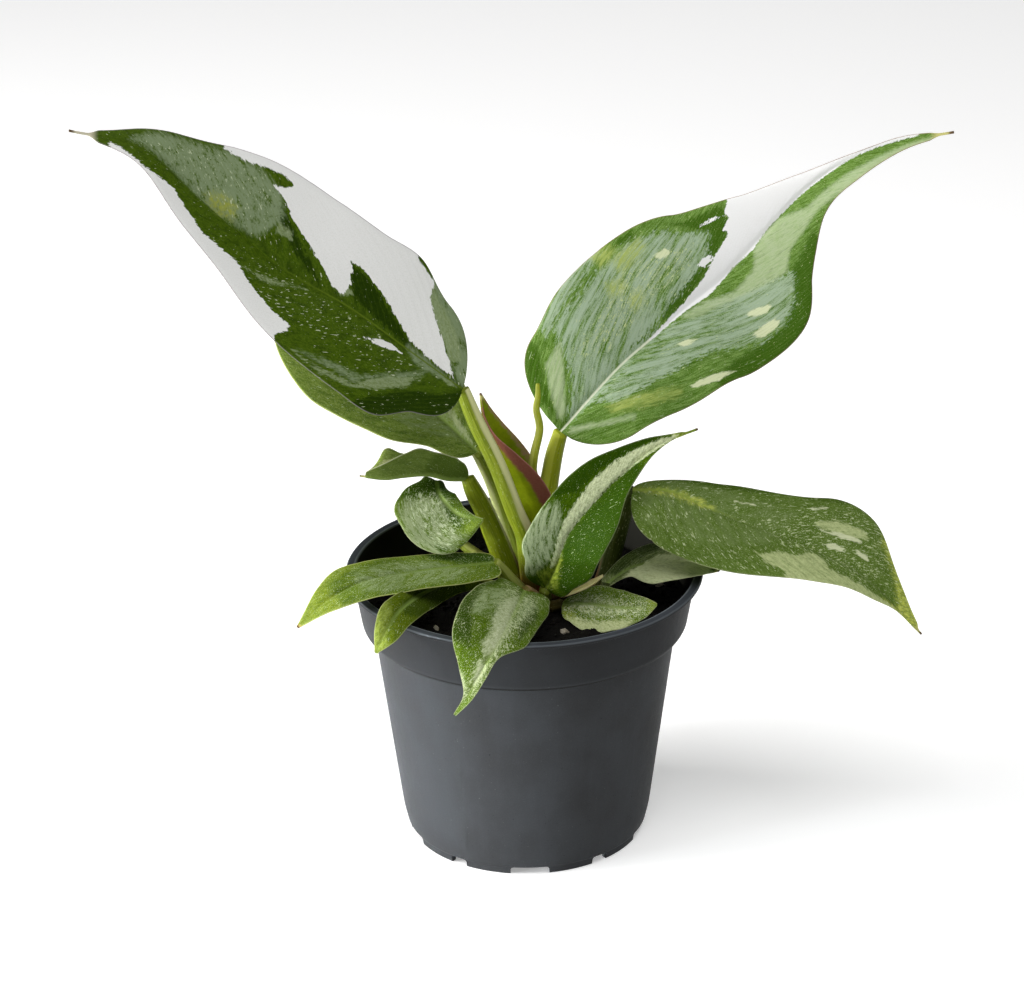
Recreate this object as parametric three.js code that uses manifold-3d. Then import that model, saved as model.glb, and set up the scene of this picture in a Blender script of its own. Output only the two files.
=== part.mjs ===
// Potted white princess philodendron: one plant in a 12 cm nursery pot of peat mix.
// Units are millimetres and +Z is up. The origin is the centre of the pot's foot, on the pot's axis,
// and the front of the plant faces -Y.
import * as THREE from "three";
import { mergeVertices } from "three/addons/utils/BufferGeometryUtils.js";
import Module from "manifold-3d";

const wasm = await Module();
wasm.setup();

// Clear space between pieces that lie against each other, and where one is cut round another
const GAP = 0.3;
const CUT_GAP = 0.4;

// Pot: outer radii and heights of one moulded shell
const POT_SEGMENTS = 48;
const POT_HEIGHT = 95;
const LIP_RADIUS = 60;
const LIP_DEPTH = 1.3;
const LIP_INNER_RADIUS = 57;
const COLLAR_TOP_RADIUS = 57.6;
const COLLAR_FOOT_RADIUS = 54.6;
const COLLAR_FOOT_HEIGHT = 75.6;
const WALL_TOP_RADIUS = 51.1;
const WALL_FOOT_RADIUS = 42.3;
const WALL_FOOT_HEIGHT = 8.2;
const WALL = 1.2;
const FOOT_RADIUS = 40.2;
const FOOT_INNER_RADIUS = 38.2;
const FOOT_HEIGHT = 2.7;
const FLOOR_TOP = 4.4;

// Pot feet: notches cut in the foot ring, wide and narrow in turn
const NOTCH_PAIRS = 5;
const WIDE_NOTCH = 13;
const NARROW_NOTCH = 6;
const FIRST_NOTCH_ANGLE = -89;

// Drain holes in the pot's floor
const DRAIN_HOLES = 8;
const DRAIN_RADIUS = 4;
const DRAIN_CIRCLE_RADIUS = 28;

// Soil
const SOIL_LEVEL = 83.5;
const SOIL_EDGE_DROP = 0.6;
const SOIL_CRUMB = 0.7;

// Crown: the short stem that the stalks grow from
const CROWN_CENTRE = [5, -2];
const CROWN_RADIUS = 9;
const CROWN_FOOT = 75;
const CROWN_TOP = 91.5;
const STEM_FOOT = 76;

// Leaf blades
const BLADE_THICKNESS = 0.7;
const BASE_ROUNDING = 0.1;
const LOBE_SHARE = 0.3;
const END_HALF_WIDTH = 0.5;
const FULL_TILT_WIDTH = 4;
const WIDE_COLUMNS = [-1, -0.72, -0.42, -0.14, 0, 0.14, 0.42, 0.72, 1];
const NARROW_COLUMNS = [-1, -0.55, -0.15, 0, 0.15, 0.55, 1];

// Stalks
const STALK_SIDES = 8;
const STALK_RING_SPACING = 7;

// Each leaf, from the stalk to the tip. The midrib is a list of points, and the blade faces the
// way that "facing" gives at its base, middle and tip. Left and right are the half-widths at every
// tenth of its length, seen from the upper face with the tip up. Fold is how far each half rises
// from flat at the midrib, and curl how far it bends on from there to its margin, in degrees.
// Lobe is how far the base reaches back. A stalk is a list of points, each with its radius.
const LEAVES = {
  // large, white and green, up and to the left
  upper_left: {
    rows: 22,
    keel: 1.2,
    midrib: [[-19.5, -8, 163], [-36.5, -11, 178], [-55, -15, 194.5], [-77.5, -19, 211],
      [-100.5, -24, 235.5], [-117.5, -28, 253.5], [-139.5, -32, 260.5]],
    facing: [[0.65, -0.44, 0.62], [0.64, -0.55, 0.54], [0.3, -0.47, 0.83]],
    left: [22, 22, 38, 38, 34, 28.5, 22, 18, 12.5, 6],
    right: [24, 24, 31, 29.5, 30.5, 30.5, 27.5, 20.5, 11.5, 3.5],
    fold: [16, 22, 18],
    curl: [-14, -18, -10],
    lobe: -1.5,
    stalk: [[4, -5, 84, 4.4], [2, -8, 101, 4], [0.5, -10, 111.5, 3.6], [-3, -11, 121, 3.3],
      [-8.5, -10.5, 137, 3.1], [-15.5, -9, 152.5, 2.9], [-19.5, -8, 163, 2.4]],
  },
  // large and green, behind the first
  behind_left: {
    rows: 22,
    keel: 1.2,
    midrib: [[-15, 2, 136.5], [-25, 11, 143], [-39.5, 24, 151], [-56.5, 39, 159.5],
      [-74, 56, 166], [-88.5, 71, 171]],
    facing: [[0.16, -0.46, 0.87], [0.06, -0.45, 0.89], [-0.03, -0.41, 0.91]],
    left: [11.5, 11.5, 19.5, 23, 25.5, 27, 25, 21, 15, 9],
    right: [9, 9, 15, 20, 24, 26, 26, 23, 17.5, 10],
    fold: [8, 8, 18],
    curl: [-12, -16, -10],
    lobe: 1,
    stalk: [[2, 2, 82, 4], [-1.5, 8, 94.5, 3.8], [-5.5, 9, 108.5, 3.5], [-9.5, 8, 122.5, 3],
      [-14, 4, 134, 2.4], [-15, 2, 136.5, 2.2]],
  },
  // large, green and white, up and to the right
  upper_right: {
    rows: 22,
    keel: 1.2,
    midrib: [[12.5, 4, 142.5], [23, 7, 154], [33, 10, 164], [43.5, 13, 172.5], [53.5, 15, 181.5],
      [67.5, 17, 192.5], [80.5, 18, 207], [93, 18, 221], [107, 16, 232], [123, 13, 239],
      [139.5, 8, 243.5]],
    facing: [[-0.32, -0.81, 0.49], [-0.3, -0.9, 0.33], [-0.35, -0.75, 0.56]],
    left: [28, 28, 33, 33.5, 30, 23, 13, 5, 1.5, 1.5],
    right: [19, 19, 25.5, 28, 32, 31, 18.5, 10, 7.5, 3.5],
    fold: [19, 13, 24],
    curl: [-12, -16, -8],
    lobe: -1,
    stalk: [[8, 3, 83, 3.8], [7.5, 5, 99, 3.4], [8, 6, 117, 3.1], [10, 5.5, 132, 2.9],
      [12.5, 4, 142.5, 2.4]],
  },
  // folded along its midrib, right of the middle
  front_folded: {
    rows: 18,
    keel: 0.8,
    midrib: [[7, -12, 93], [10.5, -15.5, 102.5], [15.5, -18, 116.5], [26, -19, 130],
      [38, -18, 142], [47, -16.5, 147.5], [57, -14, 150.5]],
    facing: [[-0.39, -0.89, -0.22], [-0.33, -0.91, 0.26], [0.05, -0.8, 0.59]],
    left: [10, 10, 13.5, 13, 13, 13, 11.5, 8, 4.5, 1.5],
    right: [9.5, 9.5, 15, 16, 15.5, 13, 7.5, 4.5, 2, 0.5],
    fold: [29, 34, 30],
    curl: [-10, -14, -6],
    lobe: 0,
    stalk: [[6.5, -6, 83, 2.8], [6.5, -9.5, 88.5, 2.6], [7, -12, 93, 2]],
  },
  // on a tall stalk of its own, drooping past the rim on the right
  right_drooping: {
    rows: 18,
    keel: 0.8,
    midrib: [[36.5, 8, 119.5], [49.5, 5, 120], [63, 0, 115.5], [80, -5, 110], [98, -10, 104],
      [114.5, -14, 95.5], [132, -18, 77]],
    facing: [[-0.16, -0.4, 0.9], [0.16, -0.41, 0.9], [0.55, -0.56, 0.62]],
    left: [5, 5, 10, 14.5, 17.5, 20.5, 24, 21, 10.5, 4.5],
    right: [19.5, 19.5, 23, 24, 22.5, 19, 15, 11, 7.5, 1.5],
    fold: [4, 12, 27],
    curl: [-16, -20, -10],
    lobe: 0.5,
    stalk: [[25.5, 3, STEM_FOOT, 3.8], [26.5, 6, 83.5, 3.6], [28.5, 9, 90, 3.3],
      [31, 11, 99.5, 3.1], [34, 10.5, 110.5, 2.8], [36.5, 8, 119.5, 2.2]],
  },
  // low on the right, over the rim
  right_low: {
    rows: 14,
    keel: 0.5,
    midrib: [[27.5, -2, 89.5], [36, 1, 94], [46, -1, 97], [56, -6, 99], [65, -10, 97.5]],
    facing: [[-0.3, -0.38, 0.87], [-0.3, -0.15, 0.94], [0.09, -0.23, 0.97]],
    left: [3, 4, 6, 8.5, 10, 10, 9, 7.5, 5, 2.5],
    right: [2.5, 2.5, 4.5, 8.5, 11.5, 13.5, 14, 13, 10.5, 6],
    fold: [12, 11, 11],
    curl: [-10, -14, -8],
    lobe: 3,
    stalk: [[25, -10, STEM_FOOT, 2.4], [26, -6, 84.5, 2.2], [27.5, -2, 89.5, 1.8]],
  },
  // small, over the soil at the front right
  front_right: {
    rows: 14,
    keel: 0.5,
    midrib: [[12.5, -12, 87], [20, -16, 89], [29, -20, 89.5], [36.5, -24, 91], [43.5, -26, 93]],
    facing: [[-0.45, -0.48, 0.76], [-0.31, -0.51, 0.8], [-0.37, -0.57, 0.73]],
    left: [3, 3, 5, 7, 7.5, 7, 6.5, 5.5, 4.5, 3],
    right: [6.5, 6.5, 8.5, 10, 10, 10, 9, 8, 6, 4],
    fold: [9, 8, 10],
    curl: [-14, -18, -10],
    lobe: -0.5,
    stalk: [[7, -7, 83, 2.2], [9.5, -10.5, 85.5, 2], [12.5, -12, 87, 1.7]],
  },
  // drooping over the rim at the front
  front_drooping: {
    rows: 16,
    keel: 0.5,
    midrib: [[0, -15, 93.5], [-3.5, -42, 99], [-7, -60, 100], [-11, -67.5, 96.5],
      [-15, -70, 90], [-19, -70.5, 82.5], [-23, -70.5, 76]],
    facing: [[0.38, 0.12, 0.92], [0.47, -0.11, 0.87], [-0.21, -0.97, 0.1]],
    left: [9.5, 9.5, 10.5, 10, 9.5, 9, 8, 3, 2.5, 2],
    right: [10, 10, 12.5, 14.5, 15.5, 16.5, 16.5, 14.5, 7.5, 1.5],
    fold: [13, 9, 13],
    curl: [-14, -18, -10],
    lobe: 6.5,
    stalk: [[5, -8, 85.5, 2.6], [2, -12.5, 90.5, 2.4], [0, -15, 93.5, 2]],
  },
  // long, over the rim on the left
  left_long: {
    rows: 14,
    keel: 0.5,
    midrib: [[-10, -12, 102.5], [-23, -17, 103.5], [-38, -21, 103.5], [-52.5, -26, 103],
      [-64.5, -32, 99], [-74.5, -37, 91.5]],
    facing: [[0.2, -0.22, 0.95], [0.06, -0.24, 0.97], [-0.37, -0.48, 0.8]],
    left: [8.5, 8.5, 9.5, 9.5, 9.5, 10, 9.5, 8.5, 6.5, 3.5],
    right: [6, 6, 7.5, 8, 8.5, 9, 9, 9.5, 7, 3.5],
    fold: [8, 9, 11],
    curl: [-14, -18, -10],
    lobe: 4,
    stalk: [[2, -7, 86, 2.6], [-3, -10, 93, 2.4], [-7, -11, 98.5, 2.2], [-10, -12, 102.5, 2]],
  },
  // narrow, under the long one
  left_low: {
    rows: 14,
    keel: 0.5,
    midrib: [[-15.5, -2, 92.5], [-24, -8, 94], [-33, -21, 96], [-40, -39.5, 99.3],
      [-44.5, -48, 96.5], [-48.5, -51.5, 89]],
    facing: [[0.5, -0.67, 0.55], [0.69, -0.12, 0.71], [-0.18, -0.89, 0.43]],
    left: [4.5, 4.5, 5, 5.5, 6, 6, 6, 6, 5.5, 4.5],
    right: [4.5, 4.5, 4.5, 4, 3.5, 4, 4.5, 5, 5.5, 3.5],
    fold: [10, 10, 10],
    curl: [-12, -16, -10],
    lobe: 2,
    stalk: [[-1.5, -2, 83, 2.4], [-8.5, -2, 87.5, 2.1], [-15.5, -2, 92.5, 1.6]],
  },
  // folded up along its midrib, with a curled tip
  left_curled: {
    rows: 14,
    keel: 0.3,
    midrib: [[-18.5, 0, 128], [-25, -3, 129.5], [-31.5, -6, 132.5], [-39, -8, 133],
      [-46.5, -9, 132.5], [-54, -8, 132.5]],
    facing: [[0.06, 0.26, 0.96], [-0.07, 0.27, 0.96], [0.07, 0.05, 1]],
    left: [8.5, 8.5, 9, 8.5, 9, 11, 10, 8.5, 7, 4.5],
    right: [9, 9, 9, 9, 8.5, 8, 8, 10.5, 9, 3.5],
    fold: [62, 64, 51],
    curl: [-16, -18, -10],
    lobe: 0,
    stalk: [[-1, -3, 86, 4.2], [-5, -3, 94.5, 4], [-9, -2.5, 106, 3.6], [-13, -1, 116, 3.2],
      [-16.5, 0, 123, 2.9], [-18.5, 0, 128, 2.2]],
  },
  // small and round, arched over towards the front
  left_round: {
    rows: 14,
    keel: 0.5,
    midrib: [[-29, 5, 125], [-28.5, -1, 124], [-26.5, -6, 122.5], [-22.5, -9, 119.5],
      [-18, -11, 118.5], [-13.5, -12, 118]],
    facing: [[0.39, -0.07, 0.92], [-0.07, -0.71, 0.7], [-0.15, -0.9, 0.4]],
    left: [3, 3, 4, 5, 5, 4.5, 4, 3, 2, 1],
    right: [5.5, 5.5, 11.5, 16, 16.5, 17, 16.5, 14.5, 11.5, 6],
    fold: [4, 4, 9],
    curl: [-20, -25, -15],
    lobe: 3.5,
    stalk: [[-2, 1, 84, 2.4], [-8, 3, 93, 2.2], [-15.5, 6, 97, 2], [-23, 9, 102.5, 1.8],
      [-27.5, 9, 113, 1.7], [-29, 5.5, 124, 1.4]],
  },
};

// The sheath that wrapped the newest leaf: boat-shaped, open to the right, with a pointed tip
const SHEATH = {
  rows: 18,
  keel: 0.5,
  midrib: [[2, 2, 86.5], [-1.5, 1, 105], [-5.5, -1, 120.5], [-9.5, -2.5, 137],
    [-12.5, -3, 150], [-14, -3, 159.5]],
  facing: [[0.85, 0.1, 0.35], [0.85, 0.1, 0.35], [0.8, 0.1, 0.5]],
  left: [10, 12, 13.5, 15, 16, 16, 13.5, 8.5, 2.5, 0.5],
  right: [3, 3.5, 5, 8, 11, 14, 13.5, 11, 7.5, 4],
  fold: [45, 50, 45],
  curl: [30, 25, 10],
  lobe: 0,
};

// A small pale scale leaf at the right of the crown
const SCALE_LEAF = {
  rows: 8,
  keel: 0.3,
  midrib: [[12, -4, 86], [17, -5, 88.5], [22, -5.5, 91], [26.5, -6, 94.5]],
  facing: [[-0.4, -0.3, 0.85], [-0.4, -0.5, 0.75], [-0.4, -0.5, 0.75]],
  left: [2, 2.5, 2.5, 2.5, 2.2, 2, 1.7, 1.4, 1.1, 0.8],
  right: [2, 2.5, 2.5, 2.5, 2.2, 2, 1.7, 1.4, 1.1, 0.8],
  fold: [25, 25, 20],
  curl: [10, 10, 5],
  lobe: 0,
};

// The rolled tip of the next leaf
const YOUNG_LEAF = [[5, 0.5, 86, 1.8], [4.5, 0.5, 105, 1.6], [3, -1, 125.5, 1.45],
  [3.5, -2, 136, 1.4], [5.5, -2, 146, 1.25], [4.5, -3, 153.5, 1.1], [5, -4, 158.5, 0.95], [5, -4, 163, 0.6]];

// Grains of perlite on the soil: place and radius
const PERLITE = [[12.8, -26, 1.6], [-29.5, -22, 1.4], [46, 9, 1.5]];

const COLOURS = {
  pot: [0.11, 0.12, 0.14],
  soil: [0.05, 0.035, 0.025],
  crown: [0.16, 0.1, 0.05],
  variegated: [0.62, 0.68, 0.5],
  green: [0.16, 0.3, 0.09],
  yellowGreen: [0.42, 0.5, 0.08],
  stalk: [0.25, 0.33, 0.06],
  sheath: [0.45, 0.42, 0.1],
  youngLeaf: [0.5, 0.5, 0.1],
  scaleLeaf: [0.7, 0.72, 0.4],
  perlite: [0.82, 0.8, 0.76],
};

const LEAF_COLOURS = {
  upper_left: COLOURS.variegated,
  upper_right: COLOURS.variegated,
  left_low: COLOURS.yellowGreen,
};

// A smooth curve through evenly spaced values, read at u from 0 to 1
function along(values, u) {
  const last = values.length - 1;
  const place = Math.min(Math.max(u, 0), 1) * last;
  const i = Math.min(Math.floor(place), last - 1);
  const share = place - i;
  const before = i > 0 ? values[i - 1] : 2 * values[0] - values[1];
  const after = i < last - 1 ? values[i + 2] : 2 * values[last] - values[last - 1];
  const slopeIn = (values[i + 1] - before) / 2;
  const slopeOut = (after - values[i]) / 2;
  const square = share * share;
  const cube = square * share;
  return (2 * cube - 3 * square + 1) * values[i] + (cube - 2 * square + share) * slopeIn
    + (3 * square - 2 * cube) * values[i + 1] + (cube - square) * slopeOut;
}

function smoothCurve(points) {
  const vectors = points.map(([x, y, z]) => new THREE.Vector3(x, y, z));
  return new THREE.CatmullRomCurve3(vectors, false, "catmullrom", 0.5);
}

// A closed manifold solid from a geometry whose shared vertices aren't merged yet
function toSolid(geometry) {
  const bare = new THREE.BufferGeometry();
  bare.setAttribute("position", geometry.getAttribute("position"));
  bare.setIndex(geometry.getIndex());
  const merged = mergeVertices(bare, 1e-4);
  const triangles = [];
  const index = merged.getIndex().array;
  for (let k = 0; k < index.length; k += 3) {
    const [a, b, c] = [index[k], index[k + 1], index[k + 2]];
    if (a !== b && b !== c && c !== a) {
      triangles.push(a, b, c);
    }
  }
  return new wasm.Manifold(new wasm.Mesh({
    numProp: 3,
    vertProperties: new Float32Array(merged.getAttribute("position").array),
    triVerts: new Uint32Array(triangles),
  }));
}

function toGeometry(solid) {
  const mesh = solid.getMesh();
  const geometry = new THREE.BufferGeometry();
  geometry.setAttribute("position", new THREE.BufferAttribute(mesh.vertProperties, 3));
  geometry.setIndex(new THREE.BufferAttribute(mesh.triVerts, 1));
  geometry.computeVertexNormals();
  return geometry;
}

function largestPiece(solid) {
  const pieces = solid.decompose();
  return pieces.reduce((best, piece) => (piece.volume() > best.volume() ? piece : best));
}

// A profile of [radius, height] turned about the vertical axis
function turned(profile, segments) {
  const points = profile.map(([radius, height]) => new THREE.Vector2(radius, height));
  return new THREE.LatheGeometry(points, segments).rotateX(Math.PI / 2);
}

// Pot

function potShell() {
  const lipFoot = POT_HEIGHT - LIP_DEPTH;
  return turned([
    [0, FOOT_HEIGHT],
    [FOOT_INNER_RADIUS, FOOT_HEIGHT],
    [FOOT_INNER_RADIUS, 0],
    [FOOT_RADIUS, 0],
    [FOOT_RADIUS + 0.4, FOOT_HEIGHT],
    [WALL_FOOT_RADIUS, WALL_FOOT_HEIGHT],
    [WALL_TOP_RADIUS, COLLAR_FOOT_HEIGHT],
    [COLLAR_FOOT_RADIUS - WALL, COLLAR_FOOT_HEIGHT],
    [COLLAR_FOOT_RADIUS, COLLAR_FOOT_HEIGHT + 1],
    [COLLAR_FOOT_RADIUS + 0.5, COLLAR_FOOT_HEIGHT + 3],
    [COLLAR_TOP_RADIUS, lipFoot - 0.5],
    [LIP_RADIUS, lipFoot],
    [LIP_RADIUS, POT_HEIGHT],
    [LIP_INNER_RADIUS, POT_HEIGHT],
    [COLLAR_TOP_RADIUS - WALL, lipFoot - 0.5],
    [COLLAR_FOOT_RADIUS + 0.5 - WALL, COLLAR_FOOT_HEIGHT + 1.4],
    [WALL_TOP_RADIUS - WALL, COLLAR_FOOT_HEIGHT - 0.6],
    [WALL_FOOT_RADIUS - WALL - 0.6, FLOOR_TOP],
    [0, FLOOR_TOP],
  ], POT_SEGMENTS);
}

function notch(angle, width) {
  const reach = 12;
  const box = new THREE.BoxGeometry(reach, width, 2 * FOOT_HEIGHT);
  box.translate(FOOT_RADIUS, 0, 0);
  return box.rotateZ(THREE.MathUtils.degToRad(angle));
}

function drainHole(angle) {
  const hole = new THREE.CylinderGeometry(DRAIN_RADIUS, DRAIN_RADIUS, 3 * FLOOR_TOP, 16);
  hole.rotateX(Math.PI / 2);
  hole.translate(DRAIN_CIRCLE_RADIUS, 0, FLOOR_TOP);
  return hole.rotateZ(angle);
}

function potSolid() {
  let pot = toSolid(potShell());
  const pitch = 360 / NOTCH_PAIRS;
  for (let pair = 0; pair < NOTCH_PAIRS; pair += 1) {
    const angle = FIRST_NOTCH_ANGLE + pair * pitch;
    pot = pot.subtract(toSolid(notch(angle, WIDE_NOTCH)));
    pot = pot.subtract(toSolid(notch(angle + pitch / 2, NARROW_NOTCH)));
  }
  for (let hole = 0; hole < DRAIN_HOLES; hole += 1) {
    pot = pot.subtract(toSolid(drainHole((hole * 2 * Math.PI) / DRAIN_HOLES)));
  }
  return pot;
}

// Soil: a plug that fills the pot, with a crumbly top

function crumbHeight(x, y) {
  const coarse = Math.sin(0.31 * x + 0.4) * Math.cos(0.27 * y - 0.8);
  const fine = Math.sin(0.43 * x - 0.35 * y + 1.7);
  return SOIL_CRUMB * (coarse + 0.6 * fine);
}

function soilPlug() {
  const edgeRadius = COLLAR_FOOT_RADIUS + 1.2 - WALL - GAP;
  const rings = [edgeRadius, 49, 41, 32, 22, 11, 0];
  const profile = [
    [0, FLOOR_TOP + GAP],
    [WALL_FOOT_RADIUS - WALL - 0.7 - GAP, FLOOR_TOP + GAP],
    [WALL_TOP_RADIUS - WALL - GAP - 0.1, COLLAR_FOOT_HEIGHT - 0.4],
    [COLLAR_FOOT_RADIUS + 0.4 - WALL - GAP, COLLAR_FOOT_HEIGHT + 1.7],
    ...rings.map((radius) => [radius, SOIL_LEVEL]),
  ];
  const plug = turned(profile, POT_SEGMENTS);
  const position = plug.getAttribute("position");
  for (let i = 0; i < position.count; i += 1) {
    if (Math.abs(position.getZ(i) - SOIL_LEVEL) < 0.01) {
      const [x, y] = [position.getX(i), position.getY(i)];
      const atEdge = Math.hypot(x, y) > edgeRadius - 1;
      const height = atEdge ? -SOIL_EDGE_DROP : crumbHeight(x, y);
      position.setZ(i, SOIL_LEVEL + height);
    }
  }
  return plug;
}

function perliteGrain([x, y, radius], gap) {
  const grain = new THREE.IcosahedronGeometry(radius + gap, 0);
  const lift = 0.3 * radius;
  return grain.translate(x, y, SOIL_LEVEL + crumbHeight(x, y) + lift);
}

// Crown

function crownBody(gap) {
  const [x, y] = CROWN_CENTRE;
  const radius = CROWN_RADIUS + gap;
  const crown = turned([
    [0, CROWN_FOOT - gap],
    [radius - 0.5, CROWN_FOOT - gap],
    [radius - 0.5, SOIL_LEVEL + 1],
    [radius, SOIL_LEVEL + 3],
    [radius - 2, CROWN_TOP - 2 + gap],
    [radius - 5, CROWN_TOP - 0.5 + gap],
    [0, CROWN_TOP + gap],
  ], 24);
  return crown.translate(x, y, 0);
}

// Blades and stalks

// Half of a blade's width at t from 0 at its base to 1 at its tip
function halfWidth(leaf, side, t) {
  const values = side > 0 ? leaf.right : leaf.left;
  return along([...values, END_HALF_WIDTH], t);
}

// 0 at the blade's base and 1 past its rounded start
function baseRise(t) {
  const inset = Math.max(0, 1 - t / BASE_ROUNDING);
  return Math.sqrt(1 - inset * inset);
}

// A point of the blade's middle surface and the direction out of its upper face there,
// at t along it and rho from -1 to 1 across it
function bladePoint(leaf, curve, t, rho, gap) {
  const middle = curve.getPointAt(t);
  const forward = curve.getTangentAt(t);
  const facing = new THREE.Vector3(...[0, 1, 2].map((k) => along(leaf.facing.map((v) => v[k]), t)));
  const up = facing.addScaledVector(forward, -facing.dot(forward)).normalize();
  const right = new THREE.Vector3().crossVectors(forward, up);
  const side = rho < 0 ? -1 : 1;
  const reach = Math.abs(rho);
  const width = Math.max(halfWidth(leaf, side, t) * baseRise(t), END_HALF_WIDTH) + gap;
  const fold = THREE.MathUtils.degToRad(along(leaf.fold, t));
  const curl = THREE.MathUtils.degToRad(along(leaf.curl, t));
  const across = (width / curl) * (Math.sin(fold + curl * reach) - Math.sin(fold));
  const rise = (width / curl) * (Math.cos(fold) - Math.cos(fold + curl * reach));
  const lobe = leaf.lobe * reach * reach * Math.max(0, 1 - t / LOBE_SHARE) ** 2 * baseRise(t);
  const tilt = rho === 0 ? 0 : (fold + curl * reach) * Math.min(1, width / FULL_TILT_WIDTH);
  const normal = up.clone().multiplyScalar(Math.cos(tilt))
    .addScaledVector(right, -side * Math.sin(tilt));
  const point = middle.addScaledVector(right, side * across).addScaledVector(up, rise)
    .addScaledVector(forward, -lobe);
  return { point, normal };
}

function bladeGeometry(leaf, gap) {
  const curve = smoothCurve(leaf.midrib);
  const columns = leaf.rows > 16 ? WIDE_COLUMNS : NARROW_COLUMNS;
  const half = BLADE_THICKNESS / 2 + gap;
  const lastRow = leaf.rows - 1;
  const upper = [];
  const lower = [];
  for (let i = 0; i <= lastRow; i += 1) {
    const share = i / lastRow;
    const t = 0.5 * share + 0.25 * (1 - Math.cos(Math.PI * share));
    const endShift = (i === lastRow ? gap : 0) - (t < BASE_ROUNDING ? gap : 0);
    const shift = curve.getTangentAt(t).multiplyScalar(endShift);
    for (const rho of columns) {
      const { point, normal } = bladePoint(leaf, curve, t, rho, gap);
      const keel = rho === 0 ? leaf.keel * baseRise(t) * (1 - share) : 0;
      point.add(shift);
      upper.push(...point.clone().addScaledVector(normal, half));
      lower.push(...point.clone().addScaledVector(normal, -half - keel));
    }
  }
  return sheetGeometry(upper, lower, leaf.rows, columns.length);
}

// A closed sheet between two grids of points, split into triangles alike on both faces
function sheetGeometry(upper, lower, rows, columns) {
  const top = (i, j) => i * columns + j;
  const bottom = (i, j) => rows * columns + i * columns + j;
  const index = [];
  const quad = (a, b, c, d) => index.push(a, b, c, a, c, d);
  for (let i = 0; i < rows - 1; i += 1) {
    for (let j = 0; j < columns - 1; j += 1) {
      quad(top(i, j), top(i, j + 1), top(i + 1, j + 1), top(i + 1, j));
      index.push(bottom(i, j), bottom(i + 1, j + 1), bottom(i, j + 1));
      index.push(bottom(i, j), bottom(i + 1, j), bottom(i + 1, j + 1));
    }
    quad(top(i, 0), top(i + 1, 0), bottom(i + 1, 0), bottom(i, 0));
    const j = columns - 1;
    quad(top(i, j), bottom(i, j), bottom(i + 1, j), top(i + 1, j));
  }
  for (let j = 0; j < columns - 1; j += 1) {
    const i = rows - 1;
    quad(top(0, j), bottom(0, j), bottom(0, j + 1), top(0, j + 1));
    quad(top(i, j), top(i, j + 1), bottom(i, j + 1), bottom(i, j));
  }
  const geometry = new THREE.BufferGeometry();
  geometry.setAttribute("position", new THREE.Float32BufferAttribute([...upper, ...lower], 3));
  geometry.setIndex(index);
  return geometry;
}

// A tapering stem along a route of [x, y, z, radius]
function stalkGeometry(route, gap) {
  const curve = smoothCurve(route);
  const radii = route.map((point) => point[3]);
  const rings = Math.max(4, Math.round(curve.getLength() / STALK_RING_SPACING));
  const frames = curve.computeFrenetFrames(rings, false);
  const positions = [];
  for (let i = 0; i <= rings; i += 1) {
    const u = i / rings;
    const centre = curve.getPointAt(u);
    const endShift = (i === rings ? gap : 0) - (i === 0 ? gap : 0);
    centre.addScaledVector(frames.tangents[i], endShift);
    const radius = along(radii, curve.getUtoTmapping(u)) + gap;
    for (let side = 0; side < STALK_SIDES; side += 1) {
      const angle = (side * 2 * Math.PI) / STALK_SIDES;
      const point = centre.clone().addScaledVector(frames.normals[i], radius * Math.cos(angle))
        .addScaledVector(frames.binormals[i], radius * Math.sin(angle));
      positions.push(...point);
    }
  }
  const index = [];
  for (let side = 0; side < STALK_SIDES; side += 1) {
    const next = (side + 1) % STALK_SIDES;
    for (let i = 0; i < rings; i += 1) {
      const [ring, above] = [i * STALK_SIDES, (i + 1) * STALK_SIDES];
      index.push(ring + side, ring + next, above + next, ring + side, above + next, above + side);
    }
    if (side > 0 && next > 0) {
      const end = rings * STALK_SIDES;
      index.push(0, next, side, end, end + side, end + next);
    }
  }
  const geometry = new THREE.BufferGeometry();
  geometry.setAttribute("position", new THREE.Float32BufferAttribute(positions, 3));
  geometry.setIndex(index);
  return geometry;
}

// Assembly: each later piece is cut clear of the earlier ones that it meets

const plant = new THREE.Group();
const placed = [];

function addMesh(name, solid, colour, roughness) {
  const material = new THREE.MeshStandardMaterial({
    color: new THREE.Color(...colour),
    roughness,
    metalness: 0,
  });
  const mesh = new THREE.Mesh(toGeometry(solid), material);
  mesh.name = name;
  plant.add(mesh);
}

function boxesMeet(a, b) {
  const [first, second] = [a.boundingBox(), b.boundingBox()];
  return [0, 1, 2].every((k) => first.min[k] < second.max[k] && second.min[k] < first.max[k]);
}

function cutClear(solid, others) {
  let result = solid;
  for (const other of others) {
    if (boxesMeet(result, other)) {
      result = result.subtract(other);
    }
  }
  return result;
}

function grow(name, shape, colour, roughness) {
  const solid = largestPiece(cutClear(toSolid(shape(0)), placed));
  placed.push(toSolid(shape(CUT_GAP)));
  addMesh(name, solid, colour, roughness);
}

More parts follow.
